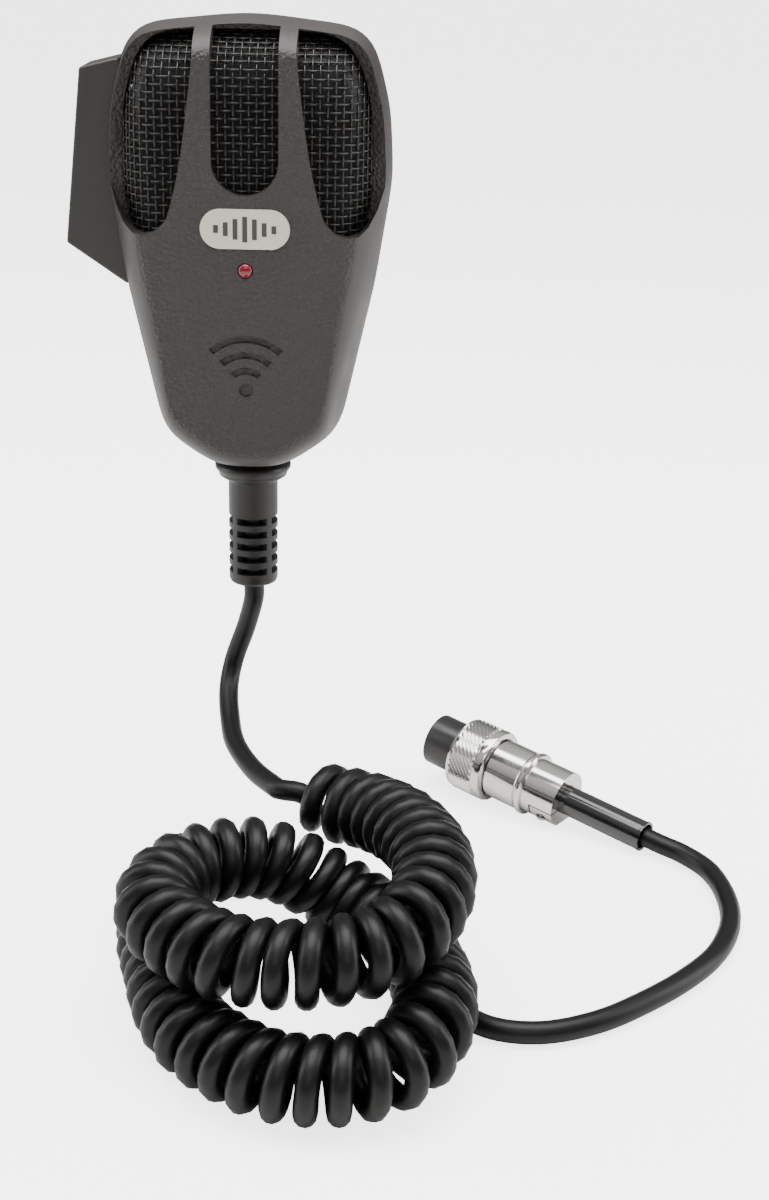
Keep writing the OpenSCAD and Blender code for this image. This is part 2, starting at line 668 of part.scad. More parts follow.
module plug_insert() color("#161616") at_plug() difference() {
    union() {
        cylinder(h = insert_out, r = insert_r);
        cylinder(h = insert_l, r = insert_seat_r);
    }
    for (i = [0:3]) rotate([0, 0, 45 + 90 * i]) translate([contact_ring_r, 0, -over])
        cylinder(h = insert_l + 2 * over, r = contact_r);
    translate([insert_r - 0.9, -0.9, -over]) cube([2, 1.8, 5 + over]);
}

module plug_contacts() color("#c8a860") at_plug() for (i = [0:3]) rotate([0, 0, 45 + 90 * i])
    translate([contact_ring_r, 0, 0.4]) difference() {
        cylinder(h = insert_l + 2, r = contact_r);
        translate([0, 0, -over]) cylinder(h = 7, r = 0.5);
    }

module plug_ring() color("#c4c6c8") at_plug() {
    ring_solid(insert_out, ring_back - ring_flange_t, ring_r, ring_mouth_r);
    ring_solid(ring_back - ring_flange_t, ring_back, ring_r, shell_neck_r + ring_gap);
}

module plug_washer() color("#e4e0d4") at_plug()
    ring_solid(ring_back - ring_flange_t - washer_t - 0.1, ring_back - ring_flange_t - 0.1,
        ring_mouth_r - ring_gap * 2, shell_neck_r + ring_gap);

module plug_shell() color("#c4c6c8") at_plug() {
    ring_solid(insert_out + 0.4, insert_out + 1.6, shell_flange_r, insert_seat_r + 0.02);
    ring_solid(insert_out + 1.6, insert_l + 0.4, shell_neck_r, insert_seat_r + 0.02);
    ring_solid(insert_l + 0.4, ring_back + ring_gap * 2, shell_neck_r, shell_wall_r);
    ring_solid(ring_back + ring_gap * 2, plug_clamp_z - 1.4, shell_r, shell_wall_r);
    ring_solid(plug_clamp_z - 1.4, plug_clamp_z, shell_r + 0.5, shell_wall_r);
}

module plug_clamp_body() color("#c4c6c8") at_plug() difference() {
    ring_solid(plug_clamp_z, plug_clamp_z + clamp_l, plug_clamp_r, sleeve_r + snug);
    translate([1.6, -plug_clamp_r, plug_clamp_z + 2.4]) cube([plug_clamp_r, 2 * plug_clamp_r, clamp_l]);
    for (s = [-1, 1]) translate([-over, s * 4.9, plug_clamp_z + 5.8]) rotate([0, 90, 0])
        cylinder(h = 4, r = small_screw_r - snug);
}

module plug_clamp_bar() color("#c4c6c8") at_plug() intersection() {
    difference() {
        translate([1.9, -plug_clamp_r, plug_clamp_z + 2.8])
            cube([plug_clamp_r, 2 * plug_clamp_r, clamp_l - 2.8]);
        translate([0, 0, plug_clamp_z]) cylinder(h = 2 * clamp_l, r = sleeve_r);
        for (s = [-1, 1]) translate([0, s * 4.9, plug_clamp_z + 5.8]) rotate([0, 90, 0]) {
            cylinder(h = 8, r = small_screw_r + snug);
            translate([0, 0, 4.2]) cylinder(h = 4, r = 1.7);
        }
    }
    translate([0, 0, plug_clamp_z]) cylinder(h = clamp_l, r = plug_clamp_r);
}

module plug_clamp_screws() color("#b0b2b4") at_plug() for (s = [-1, 1])
    translate([-1, s * 4.9, plug_clamp_z + 5.8]) rotate([0, 90, 0]) {
        cylinder(h = 5.2, r = small_screw_r - snug);
        translate([0, 0, 5.2]) cylinder(h = 1.2, r = 1.5);
    }

module plug_sleeve() color("#1b1b1c") at_plug() ring_solid(sleeve_z, sleeve_end, sleeve_r, cord_r);

module plug_cord_end() color("#161514") at_plug()
    translate([0, 0, plug_cord_z]) cylinder(h = sleeve_end - plug_cord_z, r = cord_r);

module plug_wires() color("#b06a3a") for (i = [0:3]) {
    a = 45 + 90 * i;
    at_plug() rod([contact_ring_r * cos(a), contact_ring_r * sin(a), insert_l + 2.4 + play],
        [1.2 * cos(a), 1.2 * sin(a), plug_cord_z - play], 0.4, 8);
}

front_housing();
rear_housing();
housing_screws();
grille_screen();
grille_cloth();
badge_plate();
led_lens();
led_leads();
talk_lever();
lever_pin();
lever_spring();
switch_body();
switch_plunger();
switch_terminals();
circuit_board();
board_components();
board_screws();
cartridge_cup();
cartridge_cover();
cartridge_magnet();
voice_coil();
diaphragm();
cartridge_gasket();
cartridge_cushion();
cartridge_terminals();
cartridge_leads();
hang_button();
hang_button_screw();
hang_button_nut();
strain_relief();
cord_clamp();
cord_clamp_screws();
cord_entry();
wire_audio();
wire_key();
wire_receive();
wire_ground();
cord_lead();
cord_coil();
cord_tail();
plug_insert();
plug_contacts();
plug_washer();
plug_ring();
plug_shell();
plug_clamp_body();
plug_clamp_bar();
plug_clamp_screws();
plug_sleeve();
plug_cord_end();
plug_wires();
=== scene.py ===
"""The visible pieces of a hand microphone with a talk lever, a curly cord and a four-contact plug.

Sizes are in millimetres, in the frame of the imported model, and become metres where a mesh is made.
"""

from __future__ import annotations

import json
import logging
import math
from collections.abc import Sequence
from dataclasses import dataclass, field
from enum import Enum

import bmesh
import bpy
import numpy as np
from mathutils import Matrix, Vector

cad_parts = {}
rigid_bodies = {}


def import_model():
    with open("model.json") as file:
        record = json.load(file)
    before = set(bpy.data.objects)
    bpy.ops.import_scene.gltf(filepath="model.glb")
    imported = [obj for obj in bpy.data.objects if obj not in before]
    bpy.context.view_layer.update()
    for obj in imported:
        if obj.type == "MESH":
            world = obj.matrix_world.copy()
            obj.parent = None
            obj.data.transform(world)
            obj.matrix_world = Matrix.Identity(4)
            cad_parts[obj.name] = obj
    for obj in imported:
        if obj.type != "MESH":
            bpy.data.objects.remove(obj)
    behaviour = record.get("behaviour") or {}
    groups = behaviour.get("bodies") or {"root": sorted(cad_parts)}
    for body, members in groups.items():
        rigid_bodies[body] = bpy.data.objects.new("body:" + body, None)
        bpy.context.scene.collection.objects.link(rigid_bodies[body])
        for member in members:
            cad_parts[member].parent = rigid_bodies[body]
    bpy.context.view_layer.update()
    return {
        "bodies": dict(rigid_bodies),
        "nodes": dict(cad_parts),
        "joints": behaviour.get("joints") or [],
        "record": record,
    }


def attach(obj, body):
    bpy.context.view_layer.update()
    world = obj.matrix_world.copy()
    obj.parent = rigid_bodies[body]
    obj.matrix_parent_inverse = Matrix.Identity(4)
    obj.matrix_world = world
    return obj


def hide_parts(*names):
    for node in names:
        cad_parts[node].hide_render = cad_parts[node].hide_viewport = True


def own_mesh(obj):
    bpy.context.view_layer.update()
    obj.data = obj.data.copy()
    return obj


LOG = logging.getLogger("hand_microphone")
MM = 0.001
MERGE = 1e-6

Point = tuple[float, float, float]
Flat = tuple[float, float]


# ---- Finishes ----


def linear(hex_colour: str) -> tuple[float, float, float, float]:
    """Turn an sRGB hex colour into linear light.

    Args:
        hex_colour: The colour as six hex digits after a hash.

    Returns:
        Red, green, blue and an alpha of 1.
    """
    shares = [int(hex_colour[i : i + 2], 16) / 255 for i in (1, 3, 5)]
    light = [c / 12.92 if c <= 0.04045 else ((c + 0.055) / 1.055) ** 2.4 for c in shares]
    return (*light, 1.0)


def add_node(tree: bpy.types.NodeTree, kind: str, inputs: dict | None = None, **settings) -> bpy.types.Node:
    """Add a node with its settings and links.

    Args:
        tree: The material's node tree.
        kind: The node's type name.
        inputs: A value or another node's output for each input, by name or place.
        settings: Properties of the node itself.

    Returns:
        The new node.
    """
    node = tree.nodes.new(kind)
    for name, value in settings.items():
        setattr(node, name, value)
    for socket, value in (inputs or {}).items():
        if isinstance(value, bpy.types.NodeSocket):
            tree.links.new(value, node.inputs[socket])
        else:
            node.inputs[socket].default_value = value
    return node


class Grain(Enum):
    """How a surface was made, as far as it shows."""

    SPARK = "fine spark-eroded mould texture, or bare moulding"
    LEATHER = "pebbled mould grain on faces that look forward, spark texture elsewhere"
    DRAWN = "fine lines round a turned or drawn metal surface"
    WOVEN = "plain cloth weave"


@dataclass(frozen=True)
class Finish:
    """A real material and the way its surface was made.

    Args:
        name: The material's common name and process.
        colour: Its colour in sRGB hex.
        roughness: Middle roughness of the surface.
        spread: How far the roughness wanders either way.
        metallic: 1 for bare metal.
        grain: The kind of texture.
        grain_mm: Size of one grain, line or thread.
        relief_mm: Height of the texture.
        shade: How far the colour wanders, as a share of itself.
        coat: Clear layer over it.
        ior: Refractive index of a material that isn't metal.
    """

    name: str
    colour: str
    roughness: float
    spread: float = 0.05
    metallic: float = 0.0
    grain: Grain = Grain.SPARK
    grain_mm: float = 0.3
    relief_mm: float = 0.01
    shade: float = 0.08
    coat: float = 0.0
    ior: float = 1.5

    def material(self) -> bpy.types.Material:
        """Return the finish's material, made the first time that it is asked for."""
        return bpy.data.materials.get(self.name) or self._build()

    def _build(self) -> bpy.types.Material:
        """Build the node tree: wandering colour and roughness, and relief from the grain."""
        material = bpy.data.materials.new(self.name)
        material.use_nodes = True
        tree = material.node_tree
        shader = tree.nodes["Principled BSDF"]
        place = add_node(tree, "ShaderNodeTexCoord").outputs["Object"]
        cloudy = add_node(
            tree, "ShaderNodeTexNoise", {"Vector": place, "Scale": 1 / (9 * MM), "Detail": 5.0}
        ).outputs["Fac"]
        height = self._height(tree, place)
        low, high = 1 - self.shade, 1 + self.shade
        base = linear(self.colour)
        tint = add_node(
            tree,
            "ShaderNodeMix",
            {"Factor": cloudy},
            data_type="RGBA",
        )
        # The first A and B inputs are numbers, so the colours are set by place
        tint.inputs[6].default_value = (*[c * low for c in base[:3]], 1.0)
        tint.inputs[7].default_value = (*[min(1.0, c * high) for c in base[:3]], 1.0)
        tree.links.new(tint.outputs[2], shader.inputs["Base Color"])
        rough = add_node(
            tree,
            "ShaderNodeMapRange",
            {
                "Value": cloudy,
                "From Min": 0.3,
                "From Max": 0.7,
                "To Min": max(0.02, self.roughness - self.spread),
                "To Max": self.roughness + self.spread,
            },
        )
        tree.links.new(rough.outputs["Result"], shader.inputs["Roughness"])
        bump = add_node(
            tree, "ShaderNodeBump", {"Height": height, "Distance": self.relief_mm * MM, "Strength": 1.0}
        )
        tree.links.new(bump.outputs["Normal"], shader.inputs["Normal"])
        shader.inputs["Metallic"].default_value = self.metallic
        shader.inputs["Coat Weight"].default_value = self.coat
        if not self.metallic:
            shader.inputs["IOR"].default_value = self.ior
        return material

    def _height(self, tree: bpy.types.NodeTree, place: bpy.types.NodeSocket) -> bpy.types.NodeSocket:
        """Return the output that carries the grain's height, from 0 to 1.

        Args:
            tree: The material's node tree.
            place: The Object coordinates.
        """
        scale = 1 / (self.grain_mm * MM)
        if self.grain is Grain.DRAWN:
            return add_node(
                tree, "ShaderNodeTexNoise", {"Vector": place, "Scale": scale, "Detail": 2.0}
            ).outputs["Fac"]
        if self.grain is Grain.WOVEN:
            threads = [
                add_node(
                    tree,
                    "ShaderNodeTexWave",
                    {"Vector": place, "Scale": scale / 3},
                    bands_direction=way,
                ).outputs["Fac"]
                for way in ("X", "Z")
            ]
            return add_node(
                tree, "ShaderNodeMath", {0: threads[0], 1: threads[1]}, operation="MAXIMUM"
            ).outputs["Value"]
        fine = add_node(
            tree, "ShaderNodeTexNoise", {"Vector": place, "Scale": scale, "Detail": 3.0}
        ).outputs["Fac"]
        if self.grain is Grain.SPARK:
            return fine
        pebbles = add_node(
            tree,
            "ShaderNodeTexVoronoi",
            {"Vector": place, "Scale": scale},
            feature="F1",
        ).outputs["Distance"]
        forward = add_node(
            tree,
            "ShaderNodeVectorMath",
            {0: add_node(tree, "ShaderNodeNewGeometry").outputs["Normal"], 1: (0.0, -1.0, 0.0)},
            operation="DOT_PRODUCT",
        ).outputs["Value"]
        mask = add_node(
            tree,
            "ShaderNodeMapRange",
            {"Value": forward, "From Min": 0.8, "From Max": 0.97, "To Min": 0.12, "To Max": 1.0},
        ).outputs["Result"]
        mixed = add_node(
            tree, "ShaderNodeMath", {0: pebbles, 1: fine}, operation="ADD"
        ).outputs["Value"]
        return add_node(tree, "ShaderNodeMath", {0: mixed, 1: mask}, operation="MULTIPLY").outputs["Value"]


# Dark warm-grey ABS: matt, with a pebbled front that scatters small highlights, and smoother sides
CASE = Finish(
    "abs_moulded_pebbled", "#2b2725", 0.5, grain=Grain.LEATHER, grain_mm=0.8, relief_mm=0.3, shade=0.06
)
# The same ABS from a polished part of the mould
CASE_SMOOTH = Finish("abs_moulded_satin", "#2d2a28", 0.45, grain_mm=0.4, relief_mm=0.006, shade=0.05)
LEVER = Finish("abs_moulded_lever", "#262321", 0.45, grain_mm=0.4, relief_mm=0.008, shade=0.05)
# Black paint on woven steel wire, worn to a grey gleam on its crowns
SCREEN = Finish(
    "painted_woven_wire", "#2a2725", 0.34, spread=0.1, metallic=0.35, grain_mm=0.2, relief_mm=0.004
)
CLOTH = Finish("acoustic_cloth", "#0a0a0a", 0.9, grain=Grain.WOVEN, grain_mm=0.35, relief_mm=0.05)
# Pale champagne foil under lacquer
BADGE = Finish("satin_foil", "#d9d1c2", 0.34, metallic=0.45, grain_mm=0.3, relief_mm=0.004, shade=0.04)
BADGE_INK = Finish("screen_printed_ink", "#3a3735", 0.5, grain_mm=0.3, relief_mm=0.004)
# Clear crimson acrylic, glossy, its own colour strong from inside
LENS = Finish("acrylic_crimson", "#720b1f", 0.12, spread=0.02, coat=0.4, relief_mm=0.001, ior=1.49)
# Dark soft PVC of the strain relief, with a satin skin
BOOT = Finish("pvc_satin", "#171514", 0.42, grain_mm=0.5, relief_mm=0.008, shade=0.06, ior=1.42)
# Near-black polyurethane cord jacket: warm, with long soft highlights
JACKET = Finish("polyurethane_jacket", "#080606", 0.4, spread=0.04, grain_mm=0.8, relief_mm=0.006, ior=1.33)
NICKEL = Finish(
    "bright_nickel_plate",
    "#d2d0cd",
    0.13,
    metallic=1.0,
    grain=Grain.DRAWN,
    grain_mm=0.4,
    relief_mm=0.002,
    shade=0.04,
)
STEEL = Finish("zinc_plated_steel", "#a9a9a6", 0.3, metallic=1.0, grain=Grain.DRAWN, grain_mm=0.3, relief_mm=0.004)
PHENOLIC = Finish("phenolic_black", "#171514", 0.32, grain_mm=0.4, relief_mm=0.005)
SLEEVE = Finish("heat_shrink_gloss", "#141212", 0.18, spread=0.03, grain_mm=1.5, relief_mm=0.01, coat=0.5)
GILT = Finish("gilt_brass", "#c9a45c", 0.22, metallic=1.0, grain=Grain.DRAWN)
COPPER = Finish("bare_copper", "#b5673a", 0.35, metallic=1.0, grain=Grain.DRAWN)
NYLON = Finish("nylon_natural", "#e4e0d4", 0.45)
SOLDER_MASK = Finish("fibreglass_solder_mask", "#1f6b45", 0.35, coat=0.3)
PART_PLASTIC = Finish("epoxy_black", "#2a2a2a", 0.5)
FERRITE = Finish("ferrite_sintered", "#55565a", 0.6, grain_mm=0.2, relief_mm=0.03)
CAN = Finish("aluminium_drawn", "#a8a8a4", 0.32, metallic=1.0, grain=Grain.DRAWN)
FILM = Finish("polyester_film", "#d9c98a", 0.25, coat=0.3)
FOAM = Finish("closed_cell_foam", "#1e1e1e", 0.85, grain_mm=0.4, relief_mm=0.08)
WIRE_RED = Finish("pvc_insulation_red", "#c23b3b", 0.4)
WIRE_BLACK = Finish("pvc_insulation_black", "#222222", 0.4)
WIRE_WHITE = Finish("pvc_insulation_white", "#d8d8d8", 0.4)
PLUNGER = Finish("acetal_natural", "#c9c3b0", 0.4)
PAPER = Finish("seamless_paper", "#f4f3f1", 0.75, grain_mm=2.0, relief_mm=0.005, shade=0.01)

FINISH_OF_SLOT: dict[str, Finish] = {
    "case": CASE,
    "screw_steel": STEEL,
    "screen_wire": SCREEN,
    "cloth": CLOTH,
    "badge": BADGE,
    "led": LENS,
    "tinned": STEEL,
    "lever": LEVER,
    "switch": PART_PLASTIC,
    "plunger": PLUNGER,
    "board": SOLDER_MASK,
    "component": PART_PLASTIC,
    "can": CAN,
    "magnet": FERRITE,
    "copper": COPPER,
    "diaphragm": FILM,
    "foam": FOAM,
    "wire_red": WIRE_RED,
    "wire_black": WIRE_BLACK,
    "wire_white": WIRE_WHITE,
    "button": CASE_SMOOTH,
    "boot": BOOT,
    "clamp": CASE_SMOOTH,
    "jacket": JACKET,
    "insert": PHENOLIC,
    "contact": GILT,
    "washer": NYLON,
    "plug_metal": NICKEL,
    "sleeve": SLEEVE,
}


# ---- Making meshes ----


def metres(points: Sequence[Sequence[float]]) -> list[Vector]:
    """Return points given in millimetres as vectors in metres."""
    return [Vector(p) * MM for p in points]


def new_object(name: str, bm: bmesh.types.BMesh) -> bpy.types.Object:
    """Turn a bmesh into an object at the origin, and free the bmesh."""
    mesh = bpy.data.meshes.new(name)
    bm.to_mesh(mesh)
    bm.free()
    obj = bpy.data.objects.new(name, mesh)
    bpy.context.scene.collection.objects.link(obj)
    return obj


def skin(
    rings: Sequence[Sequence[Vector]],
) -> tuple[bmesh.types.BMesh, list[bmesh.types.BMEdge], list[bmesh.types.BMEdge]]:
    """Extrude a closed ring from each place to the next, left open at both ends.

    Args:
        rings: Rings of points in metres, each with the same number of points.

    Returns:
        The mesh, and the edges of its first and last rings.
    """
    bm = bmesh.new()
    verts = [bm.verts.new(p) for p in rings[0]]
    first = [bm.edges.new(pair) for pair in zip(verts, verts[1:] + verts[:1])]
    edges = first
    for ring in rings[1:]:
        place = {v.co.to_tuple(9): p for v, p in zip(verts, ring)}
        order = {v.co.to_tuple(9): i for i, v in enumerate(verts)}
        grown = bmesh.ops.extrude_edge_only(bm, edges=edges)["geom"]
        new = [g for g in grown if isinstance(g, bmesh.types.BMVert)]
        verts = sorted(new, key=lambda v: order[v.co.to_tuple(9)])
        edges = [g for g in grown if isinstance(g, bmesh.types.BMEdge) and set(g.verts) <= set(new)]
        for v in verts:
            v.co = place[v.co.to_tuple(9)]
    return bm, first, edges


def loft(rings: Sequence[Sequence[Vector]]) -> bmesh.types.BMesh:
    """Skin closed rings one after another and close both ends.

    Args:
        rings: Rings of points in metres, each with the same number of points.

    Returns:
        A closed solid.
    """
    bm, first, last = skin(rings)
    for end in (first, last):
        bmesh.ops.edgeloop_fill(bm, edges=end)
    bmesh.ops.recalc_face_normals(bm, faces=bm.faces)
    return bm


def prism(outline: Sequence[Flat], y0: float, y1: float) -> bmesh.types.BMesh:
    """Extrude a flat outline, drawn in X and Z, along Y from y0 to y1, all in millimetres."""
    return loft([metres([(x, y, z) for x, z in outline]) for y in (y0, y1)])


def lathe(profile: Sequence[Flat], steps: int = 72) -> bmesh.types.BMesh:
    """Spin a closed profile of (radius, height) points in millimetres round Z.

    Args:
        profile: The section, in turn round its edge. Points on the axis have a radius of 0.
        steps: How many faces go round.

    Returns:
        A closed turned solid.
    """
    bm = bmesh.new()
    verts = [bm.verts.new((r * MM, 0.0, z * MM)) for r, z in profile]
    on_axis = [r == 0 for r, _ in profile]
    edges = [
        bm.edges.new((verts[i], verts[(i + 1) % len(verts)]))
        for i in range(len(verts))
        if not (on_axis[i] and on_axis[(i + 1) % len(verts)])
    ]
    bmesh.ops.spin(
        bm,
        geom=verts + edges,
        cent=(0, 0, 0),
        axis=(0, 0, 1),
        angle=2 * math.pi,
        steps=steps,
        use_merge=True,
    )
    bmesh.ops.remove_doubles(bm, verts=bm.verts, dist=MERGE)
    bmesh.ops.recalc_face_normals(bm, faces=bm.faces)
    return bm


def soften(bm: bmesh.types.BMesh, width: float, least: float = 30, segments: int = 2) -> bmesh.types.BMesh:
    """Round the sharp edges of a solid.

    Args:
        bm: The solid, changed in place.
        width: Width of the rounding in millimetres.
        least: Edges that turn by fewer degrees than this stay as they are.
        segments: Faces across the rounding.

    Returns:
        The same solid.
    """
    bmesh.ops.remove_doubles(bm, verts=bm.verts, dist=MERGE)
    bmesh.ops.dissolve_limit(bm, angle_limit=math.radians(0.5), verts=bm.verts, edges=bm.edges)
    sharp = [e for e in bm.edges if e.is_manifold and e.calc_face_angle(0.0) > math.radians(least)]
    bmesh.ops.bevel(
        bm,
        geom=sharp,
        offset=width * MM,
        offset_type="OFFSET",
        affect="EDGES",
        segments=segments,
        profile=0.5,
        material=-1,
        clamp_overlap=True,
    )
    return bm


def soften_object(obj: bpy.types.Object, width: float, least: float) -> None:
    """Round the edges of an object's own mesh.

    Args:
        obj: The object.
        width: Width of the rounding in millimetres.
        least: Smallest angle of an edge that is rounded, in degrees.
    """
    bm = bmesh.new()
    bm.from_mesh(obj.data)
    soften(bm, width, least)
    bm.to_mesh(obj.data)
    bm.free()


def cut(target: bpy.types.Object, tool: bmesh.types.BMesh, operation: str = "DIFFERENCE") -> None:
    """Take a solid away from an object, or keep what they share.

    Args:
        target: The object, whose mesh is replaced.
        tool: The other solid.
        operation: A boolean modifier's operation.
    """
    other = new_object("tool", tool)
    modifier = target.modifiers.new("cut", "BOOLEAN")
    modifier.operation = operation
    modifier.object = other
    modifier.solver = "EXACT"
    bpy.context.view_layer.update()
    done = bpy.data.meshes.new_from_object(target.evaluated_get(bpy.context.evaluated_depsgraph_get()))
    target.modifiers.clear()
    old = target.data
    target.data = done
    bpy.data.meshes.remove(old)
    bpy.data.objects.remove(other)


def shade(obj: bpy.types.Object, crease: float = 35) -> None:
    """Shade an object smooth but for edges that turn by more than crease degrees."""
    bm = bmesh.new()
    bm.from_mesh(obj.data)
    for face in bm.faces:
        face.smooth = True
    for edge in bm.edges:
        edge.smooth = not edge.is_manifold or edge.calc_face_angle(0.0) < math.radians(crease)
    bm.to_mesh(obj.data)
    bm.free()
    even = obj.modifiers.new("even", "WEIGHTED_NORMAL")
    even.keep_sharp = True
    even.weight = 80


@dataclass
class Maker:
    """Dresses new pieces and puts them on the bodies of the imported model.
    """

    frame: dict

    def finish_piece(
        self,
        obj: bpy.types.Object,
        finish: Finish,
        body: str = "housing",
        slot: str = "case",
        stands_for: Sequence[str] = (),
        crease: float = 35,
    ) -> bpy.types.Object:
        """Shade, dress and mount one piece.

        Args:
            obj: The piece, in place.
            finish: Its finish.
            body: The body that it rides on.
            slot: The record's material slot; not used.
            stands_for: Nodes that it replaces.
            crease: Edges that turn by more degrees than this stay sharp.

        Returns:
            The piece.
        """
        if obj.type == "MESH":
            shade(obj, crease)
        obj.data.materials.clear()
        obj.data.materials.append(finish.material())
        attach(obj, body)
        if stands_for:
            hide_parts(*stands_for)
        count = len(obj.data.polygons) if obj.type == "MESH" else 0
        LOG.info("%s: %d faces on %s", obj.name, count, body)
        return obj

    def softened_node(
        self, node: str, width: float, finish: Finish, body: str = "housing", slot: str = "case"
    ) -> bpy.types.Object:
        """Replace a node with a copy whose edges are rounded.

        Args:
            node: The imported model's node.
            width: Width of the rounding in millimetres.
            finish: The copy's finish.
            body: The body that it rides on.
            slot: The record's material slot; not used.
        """
        bm = bmesh.new()
        bm.from_mesh(self.frame["nodes"][node].data)
        obj = new_object(f"{node}_soft", soften(bm, width))
        return self.finish_piece(obj, finish, body, slot, [node])

    def dress_nodes(self) -> None:
        """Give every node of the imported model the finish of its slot."""
        for part in self.frame["record"]["subparts"]:
            obj = self.frame["nodes"][part["node"]]
            obj.data.materials.clear()
            obj.data.materials.append(FINISH_OF_SLOT[part["material_slot"]].material())


# ---- The case's outline ----


@dataclass(frozen=True)
class Corner:
    """One arc of the outline: its middle, radius and how many steps it takes."""

    x: float
    z: float
    radius: float
    steps: int


@dataclass(frozen=True)
class CaseOutline:
    """The case seen from the front: arcs joined by straights, the same on both sides."""

    flank: tuple[Corner, ...] = (
        Corner(4.5, -42.4, 10, 9),
        Corner(14.3, -40.5, 6, 9),
        Corner(11.2, -8, 16, 5),
        Corner(18.3, 12, 12, 5),
        Corner(19.6, 24, 10, 6),
        Corner(19, 34.2, 8, 9),
    )
    crown: Corner = Corner(0, -6, 50, 12)
    least_radius: float = 4.0
    least_sweep: float = 0.02
    middle_z: float = -2.0
    point_count: int = 168
    rounding_passes: int = 6

    def _drawn_in(self, inset: float) -> list[Corner]:
        """Return the arcs for an outline drawn in by inset, with small ones moved inwards."""
        mirrored = [Corner(-c.x, c.z, c.radius, c.steps) for c in reversed(self.flank)]
        found = []
        for c in [*self.flank, self.crown, *mirrored]:
            shift = max(0.0, inset - (c.radius - self.least_radius))
            away = Vector((c.x, c.z - self.middle_z)).normalized() * shift
            found.append(Corner(c.x - away.x, c.z - away.y, max(c.radius - inset, self.least_radius), c.steps))
        return found

    def flat(self, inset: float) -> list[Flat]:
        """Return the outline's points in X and Z, drawn in by inset."""
        arcs = self._drawn_in(inset)
        joints = []
        for a, b in zip(arcs, arcs[1:] + arcs[:1]):
            run = math.hypot(b.x - a.x, b.z - a.z)
            joints.append(math.atan2(b.z - a.z, b.x - a.x) - math.acos((a.radius - b.radius) / run))
        points = []
        for i, c in enumerate(arcs):
            start = joints[i - 1]
            sweep = max((joints[i] - start + math.pi) % (2 * math.pi) - math.pi, self.least_sweep)
            for k in range(c.steps + 1):
                a = start + sweep * k / c.steps
                points.append((c.x + c.radius * math.cos(a), c.z + c.radius * math.sin(a)))
        return self._evened(points)

    def _evened(self, points: Sequence[Flat]) -> list[Flat]:
        """Space a closed line's points evenly from its bottom centre, and round its joints.

        Args:
            points: The line's points, symmetrical about X = 0, from just right of the bottom centre.

        Returns:
            The same number of points for every line.
        """
        bottom = (0.0, points[0][1])
        line = np.array([bottom, *points, bottom])
        along = np.concatenate([[0.0], np.cumsum(np.hypot(*np.diff(line, axis=0).T))])
        wanted = np.arange(self.point_count) * along[-1] / self.point_count
        even = np.stack([np.interp(wanted, along, line[:, axis]) for axis in (0, 1)], axis=1)
        for _ in range(self.rounding_passes):
            even = (np.roll(even, 1, axis=0) + 2 * even + np.roll(even, -1, axis=0)) / 4
        return [(float(x), float(z)) for x, z in even]

    def ring(self, inset: float, y: float, scale: float = 1.0) -> list[Vector]:
        """Return the outline as points in metres, at depth y, drawn in by inset and then scaled."""
        z0 = self.middle_z
        return metres([(x * scale, y, z0 + (z - z0) * scale) for x, z in self.flat(inset)])

    def inset_at(self, x: np.ndarray, z: np.ndarray) -> np.ndarray:
        """Return how far inside the outline each point lies, for points in X and Z."""
        p = np.array(self.flat(0))
        run = np.roll(p, -1, axis=0) - p
        keep = np.hypot(*run.T) > 1e-4
        p, run = p[keep], run[keep]
        inward = np.stack([-run[:, 1], run[:, 0]], axis=1) / np.hypot(*run.T)[:, None]
        away = (x[..., None] - p[:, 0]) * inward[:, 0] + (z[..., None] - p[:, 1]) * inward[:, 1]
        return away.min(axis=-1)


OUTLINE = CaseOutline()


def smooth_path(points: Sequence[Sequence[float]], per_span: int) -> list[Vector]:
    """Return points on a smooth line through the given ones.

    Args:
        points: The points that it passes through.
        per_span: How many steps there are from one point to the next.
    """
    p = [Vector(q) for q in points]
    p = [2 * p[0] - p[1], *p, 2 * p[-1] - p[-2]]
    found = []
    for a, b, c, d in zip(p, p[1:], p[2:], p[3:]):
        for k in range(per_span):
            t = k / per_span
            found.append(
                0.5 * (2 * b + (c - a) * t + (2 * a - 5 * b + 4 * c - d) * t**2 + (3 * b - a - 3 * c + d) * t**3)
            )
    return [*found, p[-2]]


# ---- Case ----


